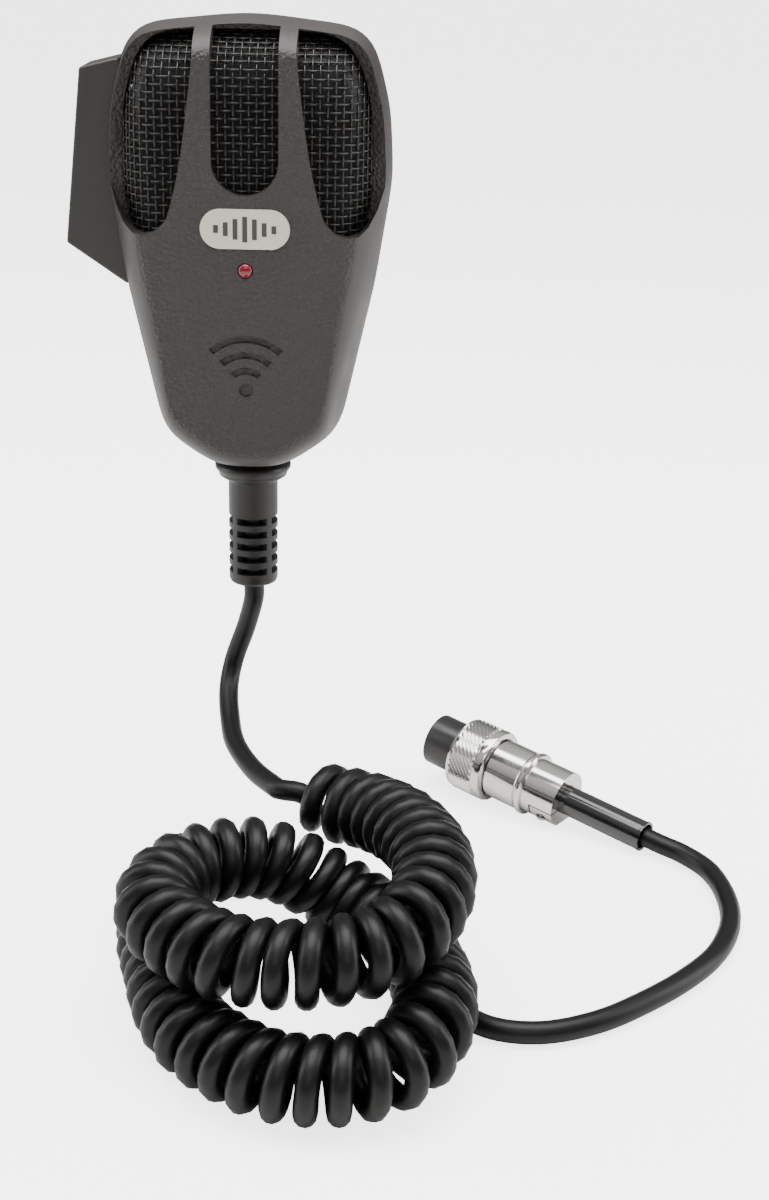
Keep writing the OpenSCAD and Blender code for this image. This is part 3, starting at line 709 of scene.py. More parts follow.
@dataclass
class Case:
    """Both shells, the grille, the badge, the indicator and what shows on the back.

    Args:
        maker: Dresses and mounts the pieces.
    """

    maker: Maker
    face_y: float = -35.0
    part_y: float = -17.0
    back_y: float = -5.0
    wall: float = 2.0
    face_inset: float = 7.8
    back_inset: float = 5.8
    front_curve: float = 1.52
    back_curve: float = 1.7
    groove: float = 0.35
    rim_inset: float = 1.4
    rim_depth: float = 8.2
    mesh_inset: float = 4.2
    mesh_depth: float = 9.6
    slot_half: float = 6.9
    slot_low_z: float = 16.2
    slot_top_z: float = 41.4
    led_z: float = -6.0
    vent_z: float = 22.0
    vent_pitch: float = 3.2
    screw_places: tuple[Flat, ...] = ((18.5, -20), (-18.5, -20), (12, -40.5), (-12, -40.5))
    side_column: tuple[Flat, ...] = (
        (10.5, 52), (10.5, 38), (11.4, 28.7), (12.4, 21.2), (13.6, 14.1), (15.4, 6.8), (16.7, 3.6),
        (18.6, 1.7), (21, 0.9), (23.4, 1.2), (25.4, 3), (27.2, 6.2), (28.8, 11), (30.5, 16), (44, 30), (44, 52),
    )
    side_hole: tuple[Flat, ...] = (
        (10.5, 41.3), (16, 40.9), (20.4, 38.8), (23.6, 33.8), (25.7, 25), (25.7, 15), (24.2, 6.6),
        (21.8, 1.7), (19.2, 1.7), (16.7, 3.6), (15.4, 6.8), (13.6, 14.1), (12.4, 21.2), (11.4, 28.7), (10.5, 36),
    )

    def _profile(self, depth: float, inset: float, curve: float, steps: int) -> list[Flat]:
        """Return (depth, inset) pairs from a face to the parting plane, closest together at the face."""
        return [
            (depth * (k / steps) ** 2, inset * (1 - k / steps) ** curve)
            for k in range(steps + 1)
        ]

    def front_shell(self) -> None:
        """Build the front shell: plateau, ribs, sloped bands round the slots, mark and holes."""
        depth = self.part_y - self.face_y
        rings = [
            OUTLINE.ring(self.face_inset, self.face_y - 0.3 * (1 - s * s), s) for s in (0.3, 0.6, 0.85)
        ]
        for d, inset in self._profile(depth, self.face_inset, self.front_curve, 14)[:-1]:
            rings.append(OUTLINE.ring(inset, self.face_y + d))
        rings.append(OUTLINE.ring(0, self.part_y - self.groove))
        rings.append(OUTLINE.ring(self.groove, self.part_y))
        rings.append(OUTLINE.ring(self.wall, self.part_y))
        rings.append(OUTLINE.ring(3.2, self.face_y + 11.4))
        rings.append(OUTLINE.ring(5.2, self.face_y + 11.2))
        rings.append(OUTLINE.ring(self.face_inset, self.face_y + 4.2, 0.98))
        rings.append(OUTLINE.ring(self.face_inset, self.face_y + 2.4, 0.86))
        shell = new_object("front_shell", loft(rings))
        for side in (1, -1):
            column = [(side * x, z) for x, z in self.side_column]
            cut(shell, self._funnel(column))
            closed = smooth_path([(*p, 0) for p in self.side_hole + self.side_hole[:1]], 3)
            hole = [(side * p.x, p.y) for p in closed[:-1]]
            cut(shell, prism(hole, self.face_y - 3, self.face_y + 14))
        w = self.slot_half
        cut(shell, self._funnel([(-w, 34), (w, 34), (w, 52), (-w, 52)]))
        arc = [
            (w * math.cos(a), self.slot_low_z + w * math.sin(a))
            for a in (math.pi * (1 + k / 20) for k in range(21))
        ]
        cut(shell, prism([(-w, self.slot_top_z), *arc, (w, self.slot_top_z)], self.face_y - 3, self.face_y + 14))
        self._lever_slot(shell)
        self._boot_hole(shell)
        cut(shell, self._forward(lathe([(0, -1), (1.62, -1), (1.62, 4), (0, 4)], 32), self.led_z))
        for ring in self._mark():
            cut(shell, ring)
        soften_object(shell, 0.22, 38)
        self.maker.finish_piece(shell, CASE, slot="case", stands_for=["front_housing"], crease=50)

    def _funnel(self, column: Sequence[Flat]) -> bmesh.types.BMesh:
        """Return the cutter of a sloped band: a cone of the case's outline, kept inside a column."""
        cone = new_object(
            "cone",
            loft(
                [
                    OUTLINE.ring(-6, self.face_y - 2),
                    OUTLINE.ring(self.rim_inset, self.face_y + self.rim_depth),
                    OUTLINE.ring(self.mesh_inset, self.face_y + self.mesh_depth),
                ]
            ),
        )
        cut(cone, prism(column, self.face_y - 6, self.part_y), "INTERSECT")
        bm = bmesh.new()
        bm.from_mesh(cone.data)
        bpy.data.objects.remove(cone)
        return bm

    def _forward(self, bm: bmesh.types.BMesh, z: float, y: float | None = None) -> bmesh.types.BMesh:
        """Turn a solid made round Z so that its axis lies along Y, and put it at height z."""
        place = Matrix.Translation(Vector((0, self.face_y if y is None else y, z)) * MM)
        bmesh.ops.transform(bm, matrix=place @ Matrix.Rotation(math.radians(-90), 4, "X"), verts=bm.verts)
        return bm

    def _lever_slot(self, shell: bpy.types.Object) -> None:
        """Cut the slot that the talk lever stands in."""
        low, high = self.part_y - 7.4, self.part_y + 7.4
        cut(shell, prism([(-60, -11.9), (-20, -11.9), (-20, 35.4), (-60, 35.4)], low, high))

    def _boot_hole(self, shell: bpy.types.Object) -> None:
        """Cut the round hole that the strain relief passes through."""
        tool = lathe([(0, -60), (5.8, -60), (5.8, -44), (0, -44)], 48)
        bmesh.ops.translate(tool, vec=Vector((0, self.part_y, 0)) * MM, verts=tool.verts)
        cut(shell, tool)

    def _mark(self) -> list[bmesh.types.BMesh]:
        """Return the cutters of the plain mark on the front: three nested arcs over a dot."""
        centre_z, depth, half_width = -31.5, 0.35, 0.75
        tools = [self._forward(lathe([(0, -1), (1.5, -1), (1.5, depth), (0, depth)], 32), centre_z)]
        for radius in (4.2, 7.6, 11.0):
            outline = []
            for r, turn in ((radius - half_width, 1), (radius + half_width, -1)):
                outline += [
                    (r * math.sin(turn * a), centre_z + r * math.cos(turn * a))
                    for a in (math.radians(-42 + 84 * k / 18) for k in range(19))
                ]
            tools.append(prism(outline, self.face_y - 1, self.face_y + depth))
        return tools

    def rear_shell(self) -> None:
        """Build the rear shell with its screw recesses, button seat and slot."""
        depth = self.back_y - self.part_y
        rings = [OUTLINE.ring(self.back_inset, self.back_y + 0.2 * (1 - s * s), s) for s in (0.3, 0.6, 0.85)]
        for d, inset in self._profile(depth, self.back_inset, self.back_curve, 12)[:-1]:
            rings.append(OUTLINE.ring(inset, self.back_y - d))
        rings.append(OUTLINE.ring(0, self.part_y + self.groove + 0.04))
        rings.append(OUTLINE.ring(self.groove, self.part_y + 0.04))
        rings.append(OUTLINE.ring(self.wall, self.part_y + 0.04))
        rings.append(OUTLINE.ring(3.4, self.back_y - 5))
        rings.append(OUTLINE.ring(self.back_inset, self.back_y - 2.2, 0.94))
        shell = new_object("rear_shell", loft(rings))
        self._lever_slot(shell)
        self._boot_hole(shell)
        for x, z in self.screw_places:
            tool = self._forward(lathe([(0, -3.2), (2.8, -3.2), (2.8, 2), (0, 2)], 40), z, self.back_y)
            bmesh.ops.translate(tool, vec=Vector((x, 0, 0)) * MM, verts=tool.verts)
            cut(shell, tool)
        tool = self._forward(lathe([(0, -1.6), (1.7, -1.6), (1.7, 2), (0, 2)], 40), 0, self.back_y)
        cut(shell, tool)
        for k in range(-3, 4):
            z = self.vent_z + self.vent_pitch * k
            slit = [(-13, z - 0.6), (13, z - 0.6), (13, z + 0.6), (-13, z + 0.6)]
            cut(shell, prism(slit, self.back_y - 0.5, self.back_y + 1))
        soften_object(shell, 0.22, 38)
        self.maker.finish_piece(shell, CASE_SMOOTH, slot="case", stands_for=["rear_housing"], crease=50)

    def _dome_depth(self, inset: np.ndarray) -> np.ndarray:
        """Return how far behind the face the screen lies, for points that far inside the outline."""
        return 1.7 + 8.6 * np.clip(1 - (inset - 3.7) / 9, 0, 1.05) ** 2.6

    def _wire_places(self, start: float, end: float, edge: float, pitch: float) -> list[float]:
        """Return the places of the wires from start to end, closer together where the dome is steep.

        Args:
            start: The first wire's place.
            end: The last place that a wire may have.
            edge: Where the outline is.
            pitch: Spacing along the woven surface.
        """
        places = [start]
        while places[-1] < end:
            inset = edge - abs(places[-1])
            near = self._dome_depth(np.array([inset, inset + 0.1]))
            slope = (near[0] - near[1]) / 0.1
            places.append(places[-1] + pitch / math.sqrt(1 + slope * slope))
        return places

    def grille(self) -> None:
        """Weave the wire screen over its dome and set the cloth behind it."""
        pitch, wire, wave = 1.6, 0.22, 0.3
        right = self._wire_places(pitch / 2, 27.2, 30.2, pitch)
        columns = [-x for x in reversed(right)] + right
        rows = self._wire_places(0.4, 41.4, 44.0, pitch)
        curve = bpy.data.curves.new("grille_wires", "CURVE")
        curve.dimensions = "3D"
        curve.bevel_depth = wire * MM
        curve.bevel_resolution = 1
        curve.use_fill_caps = True
        for across, along, flip in ((rows, columns, 1), (columns, rows, 0)):
            for j, fixed in enumerate(across):
                places, lifts = [], []
                for i, (a, b) in enumerate(zip(along, along[1:])):
                    for k in range(4):
                        places.append(a + (b - a) * k / 4)
                        lifts.append(wave * math.cos(math.pi * k / 4) * (-1) ** (i + j + flip))
                moving, still = np.array(places), np.full(len(places), fixed)
                x, z = (moving, still) if flip else (still, moving)
                inset = OUTLINE.inset_at(x, z)
                y = self.face_y + self._dome_depth(inset) + np.array(lifts)
                inside = np.flatnonzero(inset > 2.9)
                if len(inside) < 4:
                    continue
                spline = curve.splines.new("POLY")
                spline.points.add(len(inside) - 1)
                for point, n in zip(spline.points, inside):
                    point.co = (x[n] * MM, y[n] * MM, z[n] * MM, 1)
        woven = bpy.data.objects.new("grille_wires", curve)
        bpy.context.scene.collection.objects.link(woven)
        bpy.context.view_layer.update()
        mesh = bpy.data.meshes.new_from_object(woven.evaluated_get(bpy.context.evaluated_depsgraph_get()))
        bpy.data.objects.remove(woven)
        screen = bpy.data.objects.new("grille_weave", mesh)
        bpy.context.scene.collection.objects.link(screen)
        self.maker.finish_piece(screen, SCREEN, slot="screen_wire", stands_for=["grille_screen"], crease=70)
        rings = []
        for inset in (3.2, 4.2, 5.4, 6.6, 7.8):
            behind = float(self._dome_depth(np.array(inset)) + 0.75)
            rings.append(OUTLINE.ring(inset, self.face_y + behind))
        for scale, behind in ((0.9, 3.2), (0.8, 2.6), (0.5, 2.5), (0.2, 2.5)):
            rings.append(OUTLINE.ring(7.8, self.face_y + behind, scale))
        bm, _, last = skin(rings)
        bmesh.ops.edgeloop_fill(bm, edges=last)
        low = Vector((0, 0, -1)) * MM
        bmesh.ops.bisect_plane(
            bm, geom=[*bm.verts, *bm.edges, *bm.faces], plane_co=low, plane_no=(0, 0, 1), clear_inner=True
        )
        bmesh.ops.recalc_face_normals(bm, faces=bm.faces)
        bmesh.ops.solidify(bm, geom=list(bm.faces), thickness=0.3 * MM)
        cloth = new_object("grille_cloth_sheet", bm)
        self.maker.finish_piece(cloth, CLOTH, slot="cloth", stands_for=["grille_cloth"])

    def badge(self) -> None:
        """Build the plain badge: a pale plate with round ends and a dark row of bars."""
        half, radius, z0 = 9.3, 4.1, 2.6
        outline = []
        for side, start in ((1, -90), (-1, 90)):
            for k in range(17):
                a = math.radians(start + 180 * k / 16)
                outline.append((side * (half - radius) + radius * math.cos(a), z0 + radius * math.sin(a)))
        plate = new_object("badge_face", soften(prism(outline, self.face_y - 0.55, self.face_y + 0.3), 0.18))
        self.maker.finish_piece(plate, BADGE, slot="badge", stands_for=["badge_plate"])
        tall = (1.6, 2.8, 4.2, 5.2, 4.2, 2.8, 1.6)
        bars = bmesh.new()
        for i, height in enumerate(tall):
            x = (i - (len(tall) - 1) / 2) * 2.0
            size = Matrix.Diagonal((1.0 * MM, 0.2 * MM, height * MM, 1))
            place = Matrix.Translation(Vector((x, self.face_y - 0.55, z0)) * MM)
            bmesh.ops.create_cube(bars, size=1, matrix=place @ size)
        self.maker.finish_piece(new_object("badge_bars", bars), BADGE_INK, slot="case")

    def lamp(self) -> None:
        """Build the crimson indicator's dome on a round stem of the same width."""
        dome = [(1.5 * math.sin(math.radians(a)), 0.9 * math.cos(math.radians(a))) for a in range(0, 91, 10)]
        bm = lathe([*dome, (1.5, -5), (0, -5)], 36)
        bmesh.ops.transform(bm, matrix=Matrix.Rotation(math.radians(90), 4, "X"), verts=bm.verts)
        bmesh.ops.translate(bm, vec=Vector((0, self.face_y - 0.1, self.led_z)) * MM, verts=bm.verts)
        self.maker.finish_piece(new_object("led_dome", bm), LENS, slot="led", stands_for=["led_lens"], crease=60)

    def back_fittings(self) -> None:
        """Round the edges of the hang-up button and of the screws that show on the back."""
        self.maker.softened_node("hang_button", 0.45, CASE_SMOOTH, slot="button")
        self.maker.softened_node("hang_button_screw", 0.2, STEEL, slot="screw_steel")
        self.maker.softened_node("housing_screws", 0.2, STEEL, slot="screw_steel")

    def build(self) -> None:
        """Build every piece of the case."""
        self.front_shell()
        self.rear_shell()
        self.grille()
        self.badge()
        self.lamp()
        self.back_fittings()


@dataclass
class TalkLever:
    """The push-to-talk lever: a smooth moulding with rounded edges.

    Args:
        maker: Dresses and mounts the piece.
    """

    maker: Maker
    part_y: float = -17.0
    width: float = 14.0
    spring_seat: Point = (-15.6, -16.5, 10.0)
    spring_keep: float = 0.66
    outline: tuple[Flat, ...] = (
        (-27, 35), (-34.9, 33), (-38.9, -3), (-26.4, -11.5), (-21.9, -11.5), (-21.9, -15), (-20.9, -15), (-20.9, 25.5),
    )

    def build(self) -> None:
        """Extrude the lever's side view across the case's depth and round it."""
        half = self.width / 2
        bm = soften(prism(self.outline, self.part_y - half, self.part_y + half), 0.9, 12, 4)
        lever = new_object("talk_lever_moulding", bm)
        self.maker.finish_piece(lever, LEVER, "lever", "lever", ["talk_lever"], 40)
        self._spring()

    def _spring(self) -> None:
        """Copy the return spring's mesh and dress it, mounted on the case."""
        bm = bmesh.new()
        bm.from_mesh(self.maker.frame["nodes"]["lever_spring"].data)
        spring = new_object("return_spring", bm)
        self.maker.finish_piece(spring, STEEL, "housing", "screw_steel", ["lever_spring"], 60)
        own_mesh(spring)


# ---- Strain relief, cord and plug ----


@dataclass
class StrainRelief:
    """The moulded boot where the cord leaves the case.

    Args:
        maker: Dresses and mounts the piece.
    """

    maker: Maker
    part_y: float = -17.0
    neck: float = 5.6
    collar: float = 8.6
    bore: float = 2.45
    core: float = 3.2
    top_z: float = -46.4
    end_z: float = -81.5
    first_window_z: float = -65.0
    pitch: float = 3.0
    window: float = 1.5
    rows: int = 5

    def build(self) -> None:
        """Turn the boot's section and cut its rows of windows."""
        c, n = self.collar, self.neck
        section = [
            (self.bore, self.top_z), (n, self.top_z), (n, -50.5), (c - 1.3, -52.2), (c - 0.4, -52.5), (c, -53.1),
            (c - 0.1, -53.9), (c - 0.7, -54.5), (c - 0.8, -55), (c - 0.95, -55.5), (c - 1.7, -56), (n + 0.9, -56.2),
            (n + 0.2, -56.5), (n, -57), (n, self.end_z + 1.1), (n - 0.3, self.end_z + 0.35), (n - 1.0, self.end_z),
            (self.bore + 0.5, self.end_z), (self.bore, self.end_z + 0.5),
        ]
        boot = new_object("strain_relief_boot", lathe(section, 80))
        for row in range(self.rows):
            z1 = self.first_window_z - row * self.pitch
            z0 = z1 - self.window
            ring = new_object("window", lathe([(self.core, z0), (n + 2, z0), (n + 2, z1), (self.core, z1)], 64))
            for angle in (-45, 45):
                web = bmesh.new()
                size = Matrix.Diagonal((4 * n * MM, 1.5 * MM, 2 * self.window * MM, 1))
                turn = Matrix.Rotation(math.radians(angle), 4, "Z")
                middle = Matrix.Translation(Vector((0, 0, (z0 + z1) / 2)) * MM)
                bmesh.ops.create_cube(web, size=1, matrix=middle @ turn @ size)
                cut(ring, web)
            tool = bmesh.new()
            tool.from_mesh(ring.data)
            bpy.data.objects.remove(ring)
            cut(boot, tool)
        bm = bmesh.new()
        bm.from_mesh(boot.data)
        soften(bm, 0.15, 50)
        bmesh.ops.translate(bm, vec=Vector((0, self.part_y, 0)) * MM, verts=bm.verts)
        bm.to_mesh(boot.data)
        bm.free()
        self.maker.finish_piece(boot, BOOT, slot="boot", stands_for=["strain_relief"], crease=45)


@dataclass
class Plug:
    """The four-contact screw-on plug, built along its own axis and then laid where the model has it.

    Args:
        maker: Dresses and mounts the pieces.
    """

    maker: Maker
    front: Point = (45.0, 8.0, -133.4)
    tilt: float = 96.3
    yaw: float = -37.2
    nose_l: float = 8.6
    ring_r: float = 9.25
    ring_back: float = 19.0
    shell_r: float = 7.5
    shell_end: float = 30.2
    clamp_r: float = 6.4
    clamp_l: float = 9.0
    sleeve_r: float = 3.6
    sleeve_end: float = 61.6
    pieces: list[bpy.types.Object] = field(default_factory=list)

    def along(self, z: float) -> Vector:
        """Return the point z along the plug's axis, in millimetres."""
        t, y = math.radians(self.tilt), math.radians(self.yaw)
        axis = Vector((math.sin(t) * math.cos(y), math.sin(t) * math.sin(y), math.cos(t)))
        return Vector(self.front) + axis * z

    def _lay(self, bm: bmesh.types.BMesh) -> bmesh.types.BMesh:
        """Move a solid from the plug's own axis to its place."""
        turn = Matrix.Rotation(math.radians(self.yaw), 4, "Z") @ Matrix.Rotation(math.radians(self.tilt), 4, "Y")
        bmesh.ops.transform(bm, matrix=Matrix.Translation(Vector(self.front) * MM) @ turn, verts=bm.verts)
        return bm

    def _add(
        self,
        name: str,
        bm: bmesh.types.BMesh,
        finish: Finish,
        slot: str,
        node: str,
        body: str = "housing",
        crease: float = 35,
    ) -> None:
        """Lay a solid in place, dress it and keep it on the list of the plug's pieces."""
        obj = new_object(name, self._lay(bm))
        self.pieces.append(self.maker.finish_piece(obj, finish, body, slot, [node], crease))

    def _ring(self) -> None:
        """Build the coupling ring: a diamond knurl with plain rims."""
        r, z0, z1 = self.ring_r, self.nose_l, self.ring_back
        teeth, rows, tooth = 36, 6, 0.5
        knurl_end = z1 - 2.6
        bm = bmesh.new()
        bottom = bmesh.ops.create_circle(bm, segments=teeth * 2, radius=(r - tooth) * MM)["verts"]
        bmesh.ops.translate(bm, vec=(0, 0, (z0 + 0.7) * MM), verts=bottom)
        edges = [e for e in bm.edges]
        step = (knurl_end - z0 - 0.7) / (rows * 2) * MM
        for row in range(1, rows * 2 + 1):
            grown = bmesh.ops.extrude_edge_only(bm, edges=edges)["geom"]
            verts = [v for v in grown if isinstance(v, bmesh.types.BMVert)]
            edges = [e for e in grown if isinstance(e, bmesh.types.BMEdge)]
            edges = [e for e in edges if e.verts[0] in verts and e.verts[1] in verts]
            bmesh.ops.translate(bm, vec=(0, 0, step), verts=verts)
            for v in verts:
                turn = math.atan2(v.co.y, v.co.x) / (2 * math.pi) * teeth * 2
                peak = (round(turn) + row) % 2 and row < rows * 2
                reach = (r if peak else r - tooth) * MM
                v.co.x, v.co.y = reach * math.cos(turn * math.pi / teeth), reach * math.sin(turn * math.pi / teeth)
        bmesh.ops.recalc_face_normals(bm, faces=bm.faces)
        bmesh.ops.triangulate(bm, faces=bm.faces)
        band = new_object("knurl_band", bm)
        rims = lathe(
            [
                (8.0, z0), (r - 0.9, z0), (r - 0.45, z0 + 0.2), (r - 0.3, z0 + 0.55),
                (r - 0.45, z0 + 0.72), (r - 0.46, knurl_end - 0.02),
                (r - 0.2, knurl_end), (r - 0.05, knurl_end + 0.25), (r - 0.05, z1 - 0.9), (r - 0.35, z1 - 0.3), (r - 1.0, z1),
                (7.6, z1), (7.3, z1 - 0.25), (7.15, z1 - 0.6), (7.15, z1 - 1.5), (8.0, z1 - 1.5),
            ],
            96,
        )
        rims.from_mesh(band.data)
        bpy.data.objects.remove(band)
        self._add("coupling_ring_knurled", rims, NICKEL, "plug_metal", "plug_ring", "coupling_ring", 28)

    def _shell(self) -> None:
        """Turn the shell, with the groove behind the ring and the lip before the clamp."""
        r, z0, z1 = self.shell_r, self.ring_back, self.shell_end
        section = [
            (6.0, z0 - 9.5), (7.8, z0 - 9.5), (7.8, z0 - 8.8), (7.05, z0 - 8.8), (7.05, z0 + 0.2), (r - 0.25, z0 + 0.2),
            (r, z0 + 0.5), (r, z1 - 2.2), (r - 0.35, z1 - 2.0), (r - 0.35, z1 - 1.7), (r + 0.2, z1 - 1.5), (r + 0.5, z1 - 1.15),
            (r + 0.5, z1 - 0.45), (r + 0.2, z1 - 0.1), (r - 0.3, z1), (5.9, z1),
        ]
        self._add("plug_shell_turned", lathe(section, 96), NICKEL, "plug_metal", "plug_shell", crease=32)

    def _sleeve(self) -> None:
        """Turn the glossy sleeve, open at its end with the rim a little flared."""
        r, z0, z1 = self.sleeve_r, 34.6, self.sleeve_end
        section = [
            (2.4, z0), (r, z0), (r, z1 - 1.2), (r + 0.12, z1 - 0.5), (r + 0.1, z1 - 0.12), (r - 0.15, z1),
            (r - 0.45, z1 - 0.1), (r - 0.6, z1 - 0.4), (r - 0.6, z1 - 4), (2.4, z1 - 4.6),
        ]
        self._add("plug_sleeve_tube", lathe(section, 64), SLEEVE, "sleeve", "plug_sleeve", crease=60)

    def _screws(self) -> None:
        """Build the clamp's two cross-head screws."""
        both = bmesh.new()
        for side in (1, -1):
            angles = [math.radians(a) for a in range(0, 91, 15)]
            head = [(1.55 * math.cos(a), 5.2 + 0.9 * math.sin(a)) for a in angles]
            screw = new_object("screw", lathe([(0, 0), (0.9, 0), (0.9, 5), (1.55, 5), *head[:-1], (0, 6.1)], 32))
            for turn in (20, 110):
                slot = bmesh.new()
                size = Matrix.Diagonal((2.1 * MM, 0.5 * MM, 1.4 * MM, 1))
                place = Matrix.Translation(Vector((0, 0, 6.2)) * MM) @ Matrix.Rotation(math.radians(turn), 4, "Z")
                bmesh.ops.create_cube(slot, size=1, matrix=place @ size)
                cut(screw, slot)
            bm = bmesh.new()
            bm.from_mesh(screw.data)
            bpy.data.objects.remove(screw)
            place = Matrix.Translation(Vector((-1, side * 4.9, self.shell_end + 5.8)) * MM)
            bmesh.ops.transform(bm, matrix=place @ Matrix.Rotation(math.radians(90), 4, "Y"), verts=bm.verts)
            mesh = bpy.data.meshes.new("screw")
            bm.to_mesh(mesh)
            bm.free()
            both.from_mesh(mesh)
            bpy.data.meshes.remove(mesh)
        self._add("plug_clamp_screws_cross", both, STEEL, "screw_steel", "plug_clamp_screws")

    def build(self) -> list[bpy.types.Object]:
        """Build the plug and return every piece on the cord's end."""
        self._ring()
        self._shell()
        self._sleeve()
        self._screws()
        soft = self.maker.softened_node
        self.pieces.append(soft("plug_insert", 0.3, PHENOLIC, slot="insert"))
        self.pieces.append(soft("plug_clamp_body", 0.35, NICKEL, slot="plug_metal"))
        self.pieces.append(soft("plug_clamp_bar", 0.35, NICKEL, slot="plug_metal"))
        nodes = self.maker.frame["nodes"]
        self.pieces += [nodes[n] for n in ("plug_contacts", "plug_washer", "plug_cord_end", "plug_wires")]
        return self.pieces


@dataclass
class CurlyCord:
    """The one cord, from the strain relief through the curly stretch to the plug.

    Args:
        maker: Dresses and mounts the piece.
        plug: The plug that the cord ends in.
    """

    maker: Maker
    plug: Plug
    floor_z: float = -144.0
    diameter: float = 4.7
    coil_radius: float = 6.25
    turns: int = 65
    steps: int = 16
    end_turns: float = 0.9
    end_pull: float = 4.0
    exit: Point = (0.0, -17.0, -81.5)
    lead: tuple[Point, ...] = (
        (0, -17, 58), (-2, -14.6, 50), (-5, -14, 41), (-6, -18, 35), (-5, -26, 31), (-3, -35, 29), (2, -46, 28),
    )
    coil: tuple[Point, ...] = (
        (8, -55, 28), (17, -60, 28), (28, -66, 29), (36, -77, 31), (41, -91, 32), (41, -103, 31),
        (37, -113, 30), (30, -119, 28), (20, -122, 27), (11, -121, 26), (2, -119, 26), (-6, -113, 26),
        (-12, -105, 26), (-13, -97, 26), (-10, -89, 26), (-4, -84, 26), (4, -80, 25), (12, -78, 22),
        (20, -78, 17), (27, -81, 14), (35, -89, 13.3), (40, -101, 13.3), (42, -113, 13.3), (40, -124, 13),
        (35, -130, 11), (28, -133, 10), (20, -133, 9), (11, -131, 8.6), (3, -126, 8.6), (-4, -119, 8.6),
        (-9, -109, 8.6), (-12, -98, 8.6), (-15, -87, 8.6), (-16, -76, 8.6), (-16, -67, 8.6),
        (-13, -59, 8.6), (-7, -54, 8.6), (0, -52, 8.6),
    )
    tail: tuple[Point, ...] = (
        (6, -52, 5), (13, -53, 2.4), (21, -58, 2.4), (29, -66, 2.4), (36, -77, 2.4), (42, -90, 2.4),
        (47, -100, 2.4), (54, -106, 2.4), (64, -107, 2.4), (75, -103, 2.4), (85, -96, 2.4), (95, -87, 2.4),
        (103, -77, 2.4), (108, -65, 2.4), (109, -53, 2.4), (107, -42, 2.4), (102, -35, 2.8),
    )

    def _on_floor(self, points: Sequence[Point]) -> list[Point]:
        """Return points whose heights were given above the floor, in the model's frame."""
        return [(x, y, self.floor_z + h) for x, y, h in points]

    def _helix(self) -> list[Vector]:
        """Wind the curly stretch round its route, with a frame carried along so that it never twists."""
        axis = smooth_path(self._on_floor(self.coil), 24)
        reach = [0.0]
        for a, b in zip(axis, axis[1:]):
            reach.append(reach[-1] + (b - a).length)
        count = self.turns * self.steps
        from_end = np.minimum(np.arange(count) + 0.5, count - np.arange(count) - 0.5)
        eased = np.clip(from_end / (self.end_turns * self.steps), 0, 1)
        pull = 1 + (self.end_pull - 1) * (1 - eased * eased * (3 - 2 * eased))
        share = np.concatenate([[0.0], np.cumsum(pull)]) / pull.sum()
        side = Vector((0, 0, 1))
        found = []
        n = 0
        for i in range(count + 1):
            want = reach[-1] * float(share[i])
            while n < len(axis) - 2 and reach[n + 1] < want:
                n += 1
            heading = (axis[n + 1] - axis[n]).normalized()
            side = (side - heading * side.dot(heading)).normalized()
            middle = axis[n].lerp(axis[n + 1], (want - reach[n]) / (reach[n + 1] - reach[n]))
            turn = -2 * math.pi * i / self.steps
            ends = min(i, count - i) / (self.end_turns * self.steps)
            radius = self.coil_radius * (1.0 if ends >= 1 else ends * ends * (3 - 2 * ends))
            found.append(middle + radius * (side * math.cos(turn) + heading.cross(side) * math.sin(turn)))
        return found

    def build(self, pieces: Sequence[bpy.types.Object]) -> None:
        """Args:
            pieces: What is on the cord's far end; not used.
        """
        helix = self._helix()
        lead = smooth_path([self.exit, *self._on_floor(self.lead), tuple(helix[0])], 6)
        ends = [tuple(self.plug.along(self.plug.sleeve_end + way)) for way in (4, -4.5)]
        tail = smooth_path([tuple(helix[-1]), *self._on_floor(self.tail), *ends], 6)
        route = lead[:-1] + helix + tail[1:]
        curve = bpy.data.curves.new("curly_cord", "CURVE")
        curve.dimensions = "3D"
        curve.bevel_depth = self.diameter / 2 * MM
        curve.bevel_resolution = 4
        curve.use_fill_caps = True
        spline = curve.splines.new("POLY")
        spline.points.add(len(route) - 1)
        for point, place in zip(spline.points, route):
            point.co = (*(place * MM), 1)
        spline.use_smooth = True
        cord = bpy.data.objects.new("curly_cord", curve)
        bpy.context.scene.collection.objects.link(cord)
        length = sum((b - a).length for a, b in zip(route, route[1:])) * MM
        LOG.info("cord: %.3f m long", length)
        self.maker.finish_piece(cord, JACKET, slot="jacket", stands_for=["cord_lead", "cord_coil", "cord_tail"])


# ---- Room ----


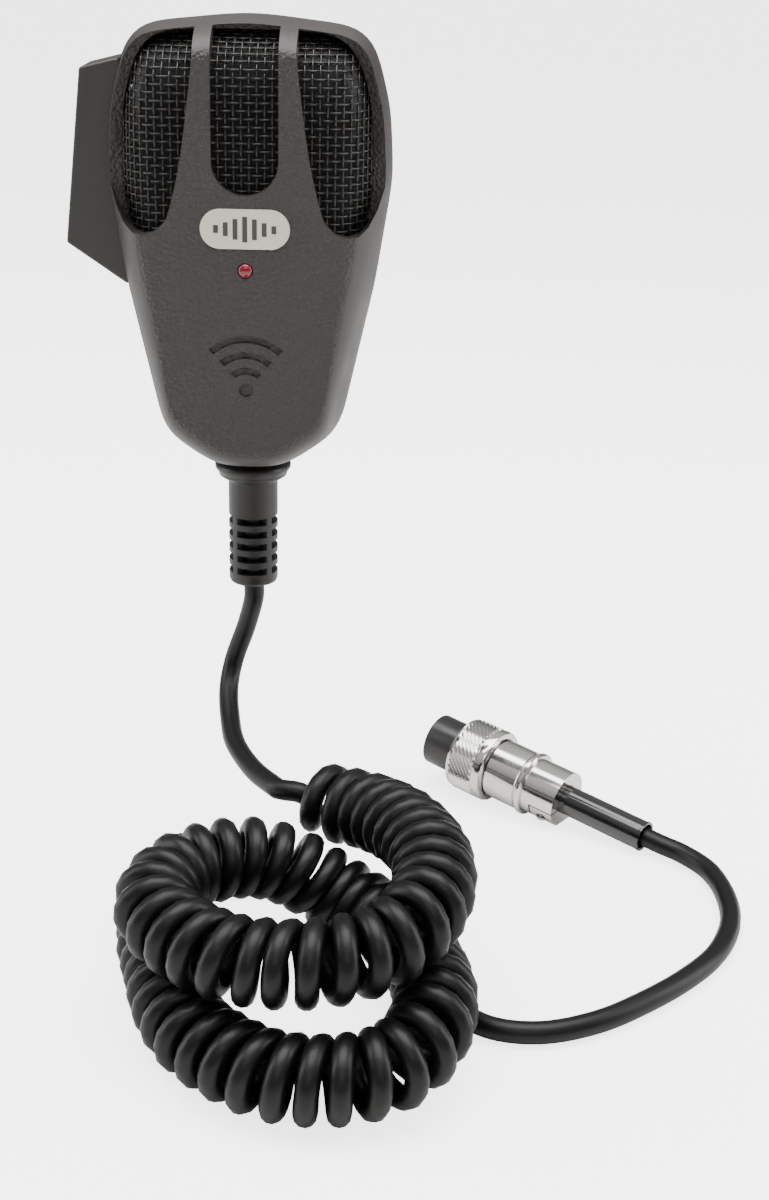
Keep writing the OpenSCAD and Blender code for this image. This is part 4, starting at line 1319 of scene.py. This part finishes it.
@dataclass
class Studio:
    """The camera, the paper floor and soft lights."""

    floor_z: float = -144.0
    camera_at: Point = (30.46, -407.5, 68.0)
    pitch: float = 21.5
    roll: float = 1.3
    paper_glow: float = 3.0
    backdrop_glow: float = 4.0
    lens: float = 54.0

    def camera(self) -> None:
        """Place the camera in front of the microphone, looking down on it."""
        data = bpy.data.cameras.new("camera")
        data.sensor_fit = "VERTICAL"
        data.sensor_height = 36.0
        data.lens = self.lens
        data.clip_start = 0.01
        camera = bpy.data.objects.new("camera", data)
        bpy.context.scene.collection.objects.link(camera)
        tilted = Matrix.Rotation(math.radians(90 - self.pitch), 4, "X")
        look = tilted @ Matrix.Rotation(math.radians(self.roll), 4, "Z")
        camera.matrix_world = Matrix.Translation(Vector(self.camera_at) * MM) @ look
        bpy.context.scene.camera = camera

    def _light(self, name: str, at: Point, size: Flat, power: float, aim: Point = (20, -60, -60)) -> None:
        """Hang one soft box.

        Args:
            name: The light's name.
            at: Its place in millimetres.
            size: Its width and height in millimetres.
            power: Its power in watts.
            aim: The point that it faces.
        """
        data = bpy.data.lights.new(name, "AREA")
        data.shape = "RECTANGLE"
        data.size, data.size_y = size[0] * MM, size[1] * MM
        data.energy = power
        light = bpy.data.objects.new(name, data)
        bpy.context.scene.collection.objects.link(light)
        light.location = Vector(at) * MM
        light.rotation_euler = (Vector(aim) - Vector(at)).to_track_quat("-Z", "Y").to_euler()

    def _paper(self) -> bpy.types.Material:
        """Return the floor's paper, lifted towards white only where the camera sees it."""
        material = PAPER.material()
        tree = material.node_tree
        seen = add_node(tree, "ShaderNodeLightPath").outputs["Is Camera Ray"]
        glow = add_node(tree, "ShaderNodeMath", {0: seen, 1: self.paper_glow}, operation="MULTIPLY")
        shader = tree.nodes["Principled BSDF"]
        shader.inputs["Emission Color"].default_value = (1.0, 1.0, 1.0, 1.0)
        tree.links.new(glow.outputs["Value"], shader.inputs["Emission Strength"])
        return material

    def build(self) -> None:
        """Lay the floor, hang the lights and set the room's own light."""
        floor = bmesh.new()
        bmesh.ops.create_grid(floor, x_segments=1, y_segments=1, size=6)
        bmesh.ops.translate(floor, vec=(0, 0, self.floor_z * MM), verts=floor.verts)
        paper = new_object("paper_floor", floor)
        paper.data.materials.append(self._paper())
        self._light("top_box", (20, -60, 640), (800, 600), 12)
        self._light("left_box", (-640, -40, 120), (240, 700), 3.2)
        self._light("right_box", (660, -40, 120), (240, 700), 3.6)
        self._light("front_box", (60, -760, 460), (420, 260), 0.9)
        world = bpy.data.worlds.new("room")
        bpy.context.scene.world = world
        world.use_nodes = True
        background = world.node_tree.nodes["Background"]
        tree = world.node_tree
        way = add_node(tree, "ShaderNodeTexCoord").outputs["Generated"]
        up = add_node(tree, "ShaderNodeSeparateXYZ", {"Vector": way}).outputs["Z"]
        glow = add_node(
            tree,
            "ShaderNodeMapRange",
            {"Value": up, "From Min": 0.0, "From Max": 0.7, "To Min": 0.12, "To Max": 0.75},
        ).outputs["Result"]
        background.inputs["Color"].default_value = (1.0, 1.0, 1.0, 1.0)
        seen = add_node(tree, "ShaderNodeLightPath").outputs["Is Camera Ray"]
        backdrop = add_node(tree, "ShaderNodeMath", {0: seen, 1: self.backdrop_glow}, operation="MULTIPLY")
        shown = add_node(
            tree, "ShaderNodeMath", {0: glow, 1: backdrop.outputs["Value"]}, operation="MAXIMUM"
        ).outputs["Value"]
        tree.links.new(shown, background.inputs["Strength"])


def main() -> None:
    """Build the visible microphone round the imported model."""
    logging.basicConfig(level=logging.INFO, format="%(name)s: %(message)s")
    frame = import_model()
    maker = Maker(frame)
    studio = Studio()
    studio.camera()
    maker.dress_nodes()
    plug = Plug(maker)
    pieces = plug.build()
    CurlyCord(maker, plug).build(pieces)
    Case(maker).build()
    TalkLever(maker).build()
    StrainRelief(maker).build()
    studio.build()


if __name__ == "__main__":
    main()
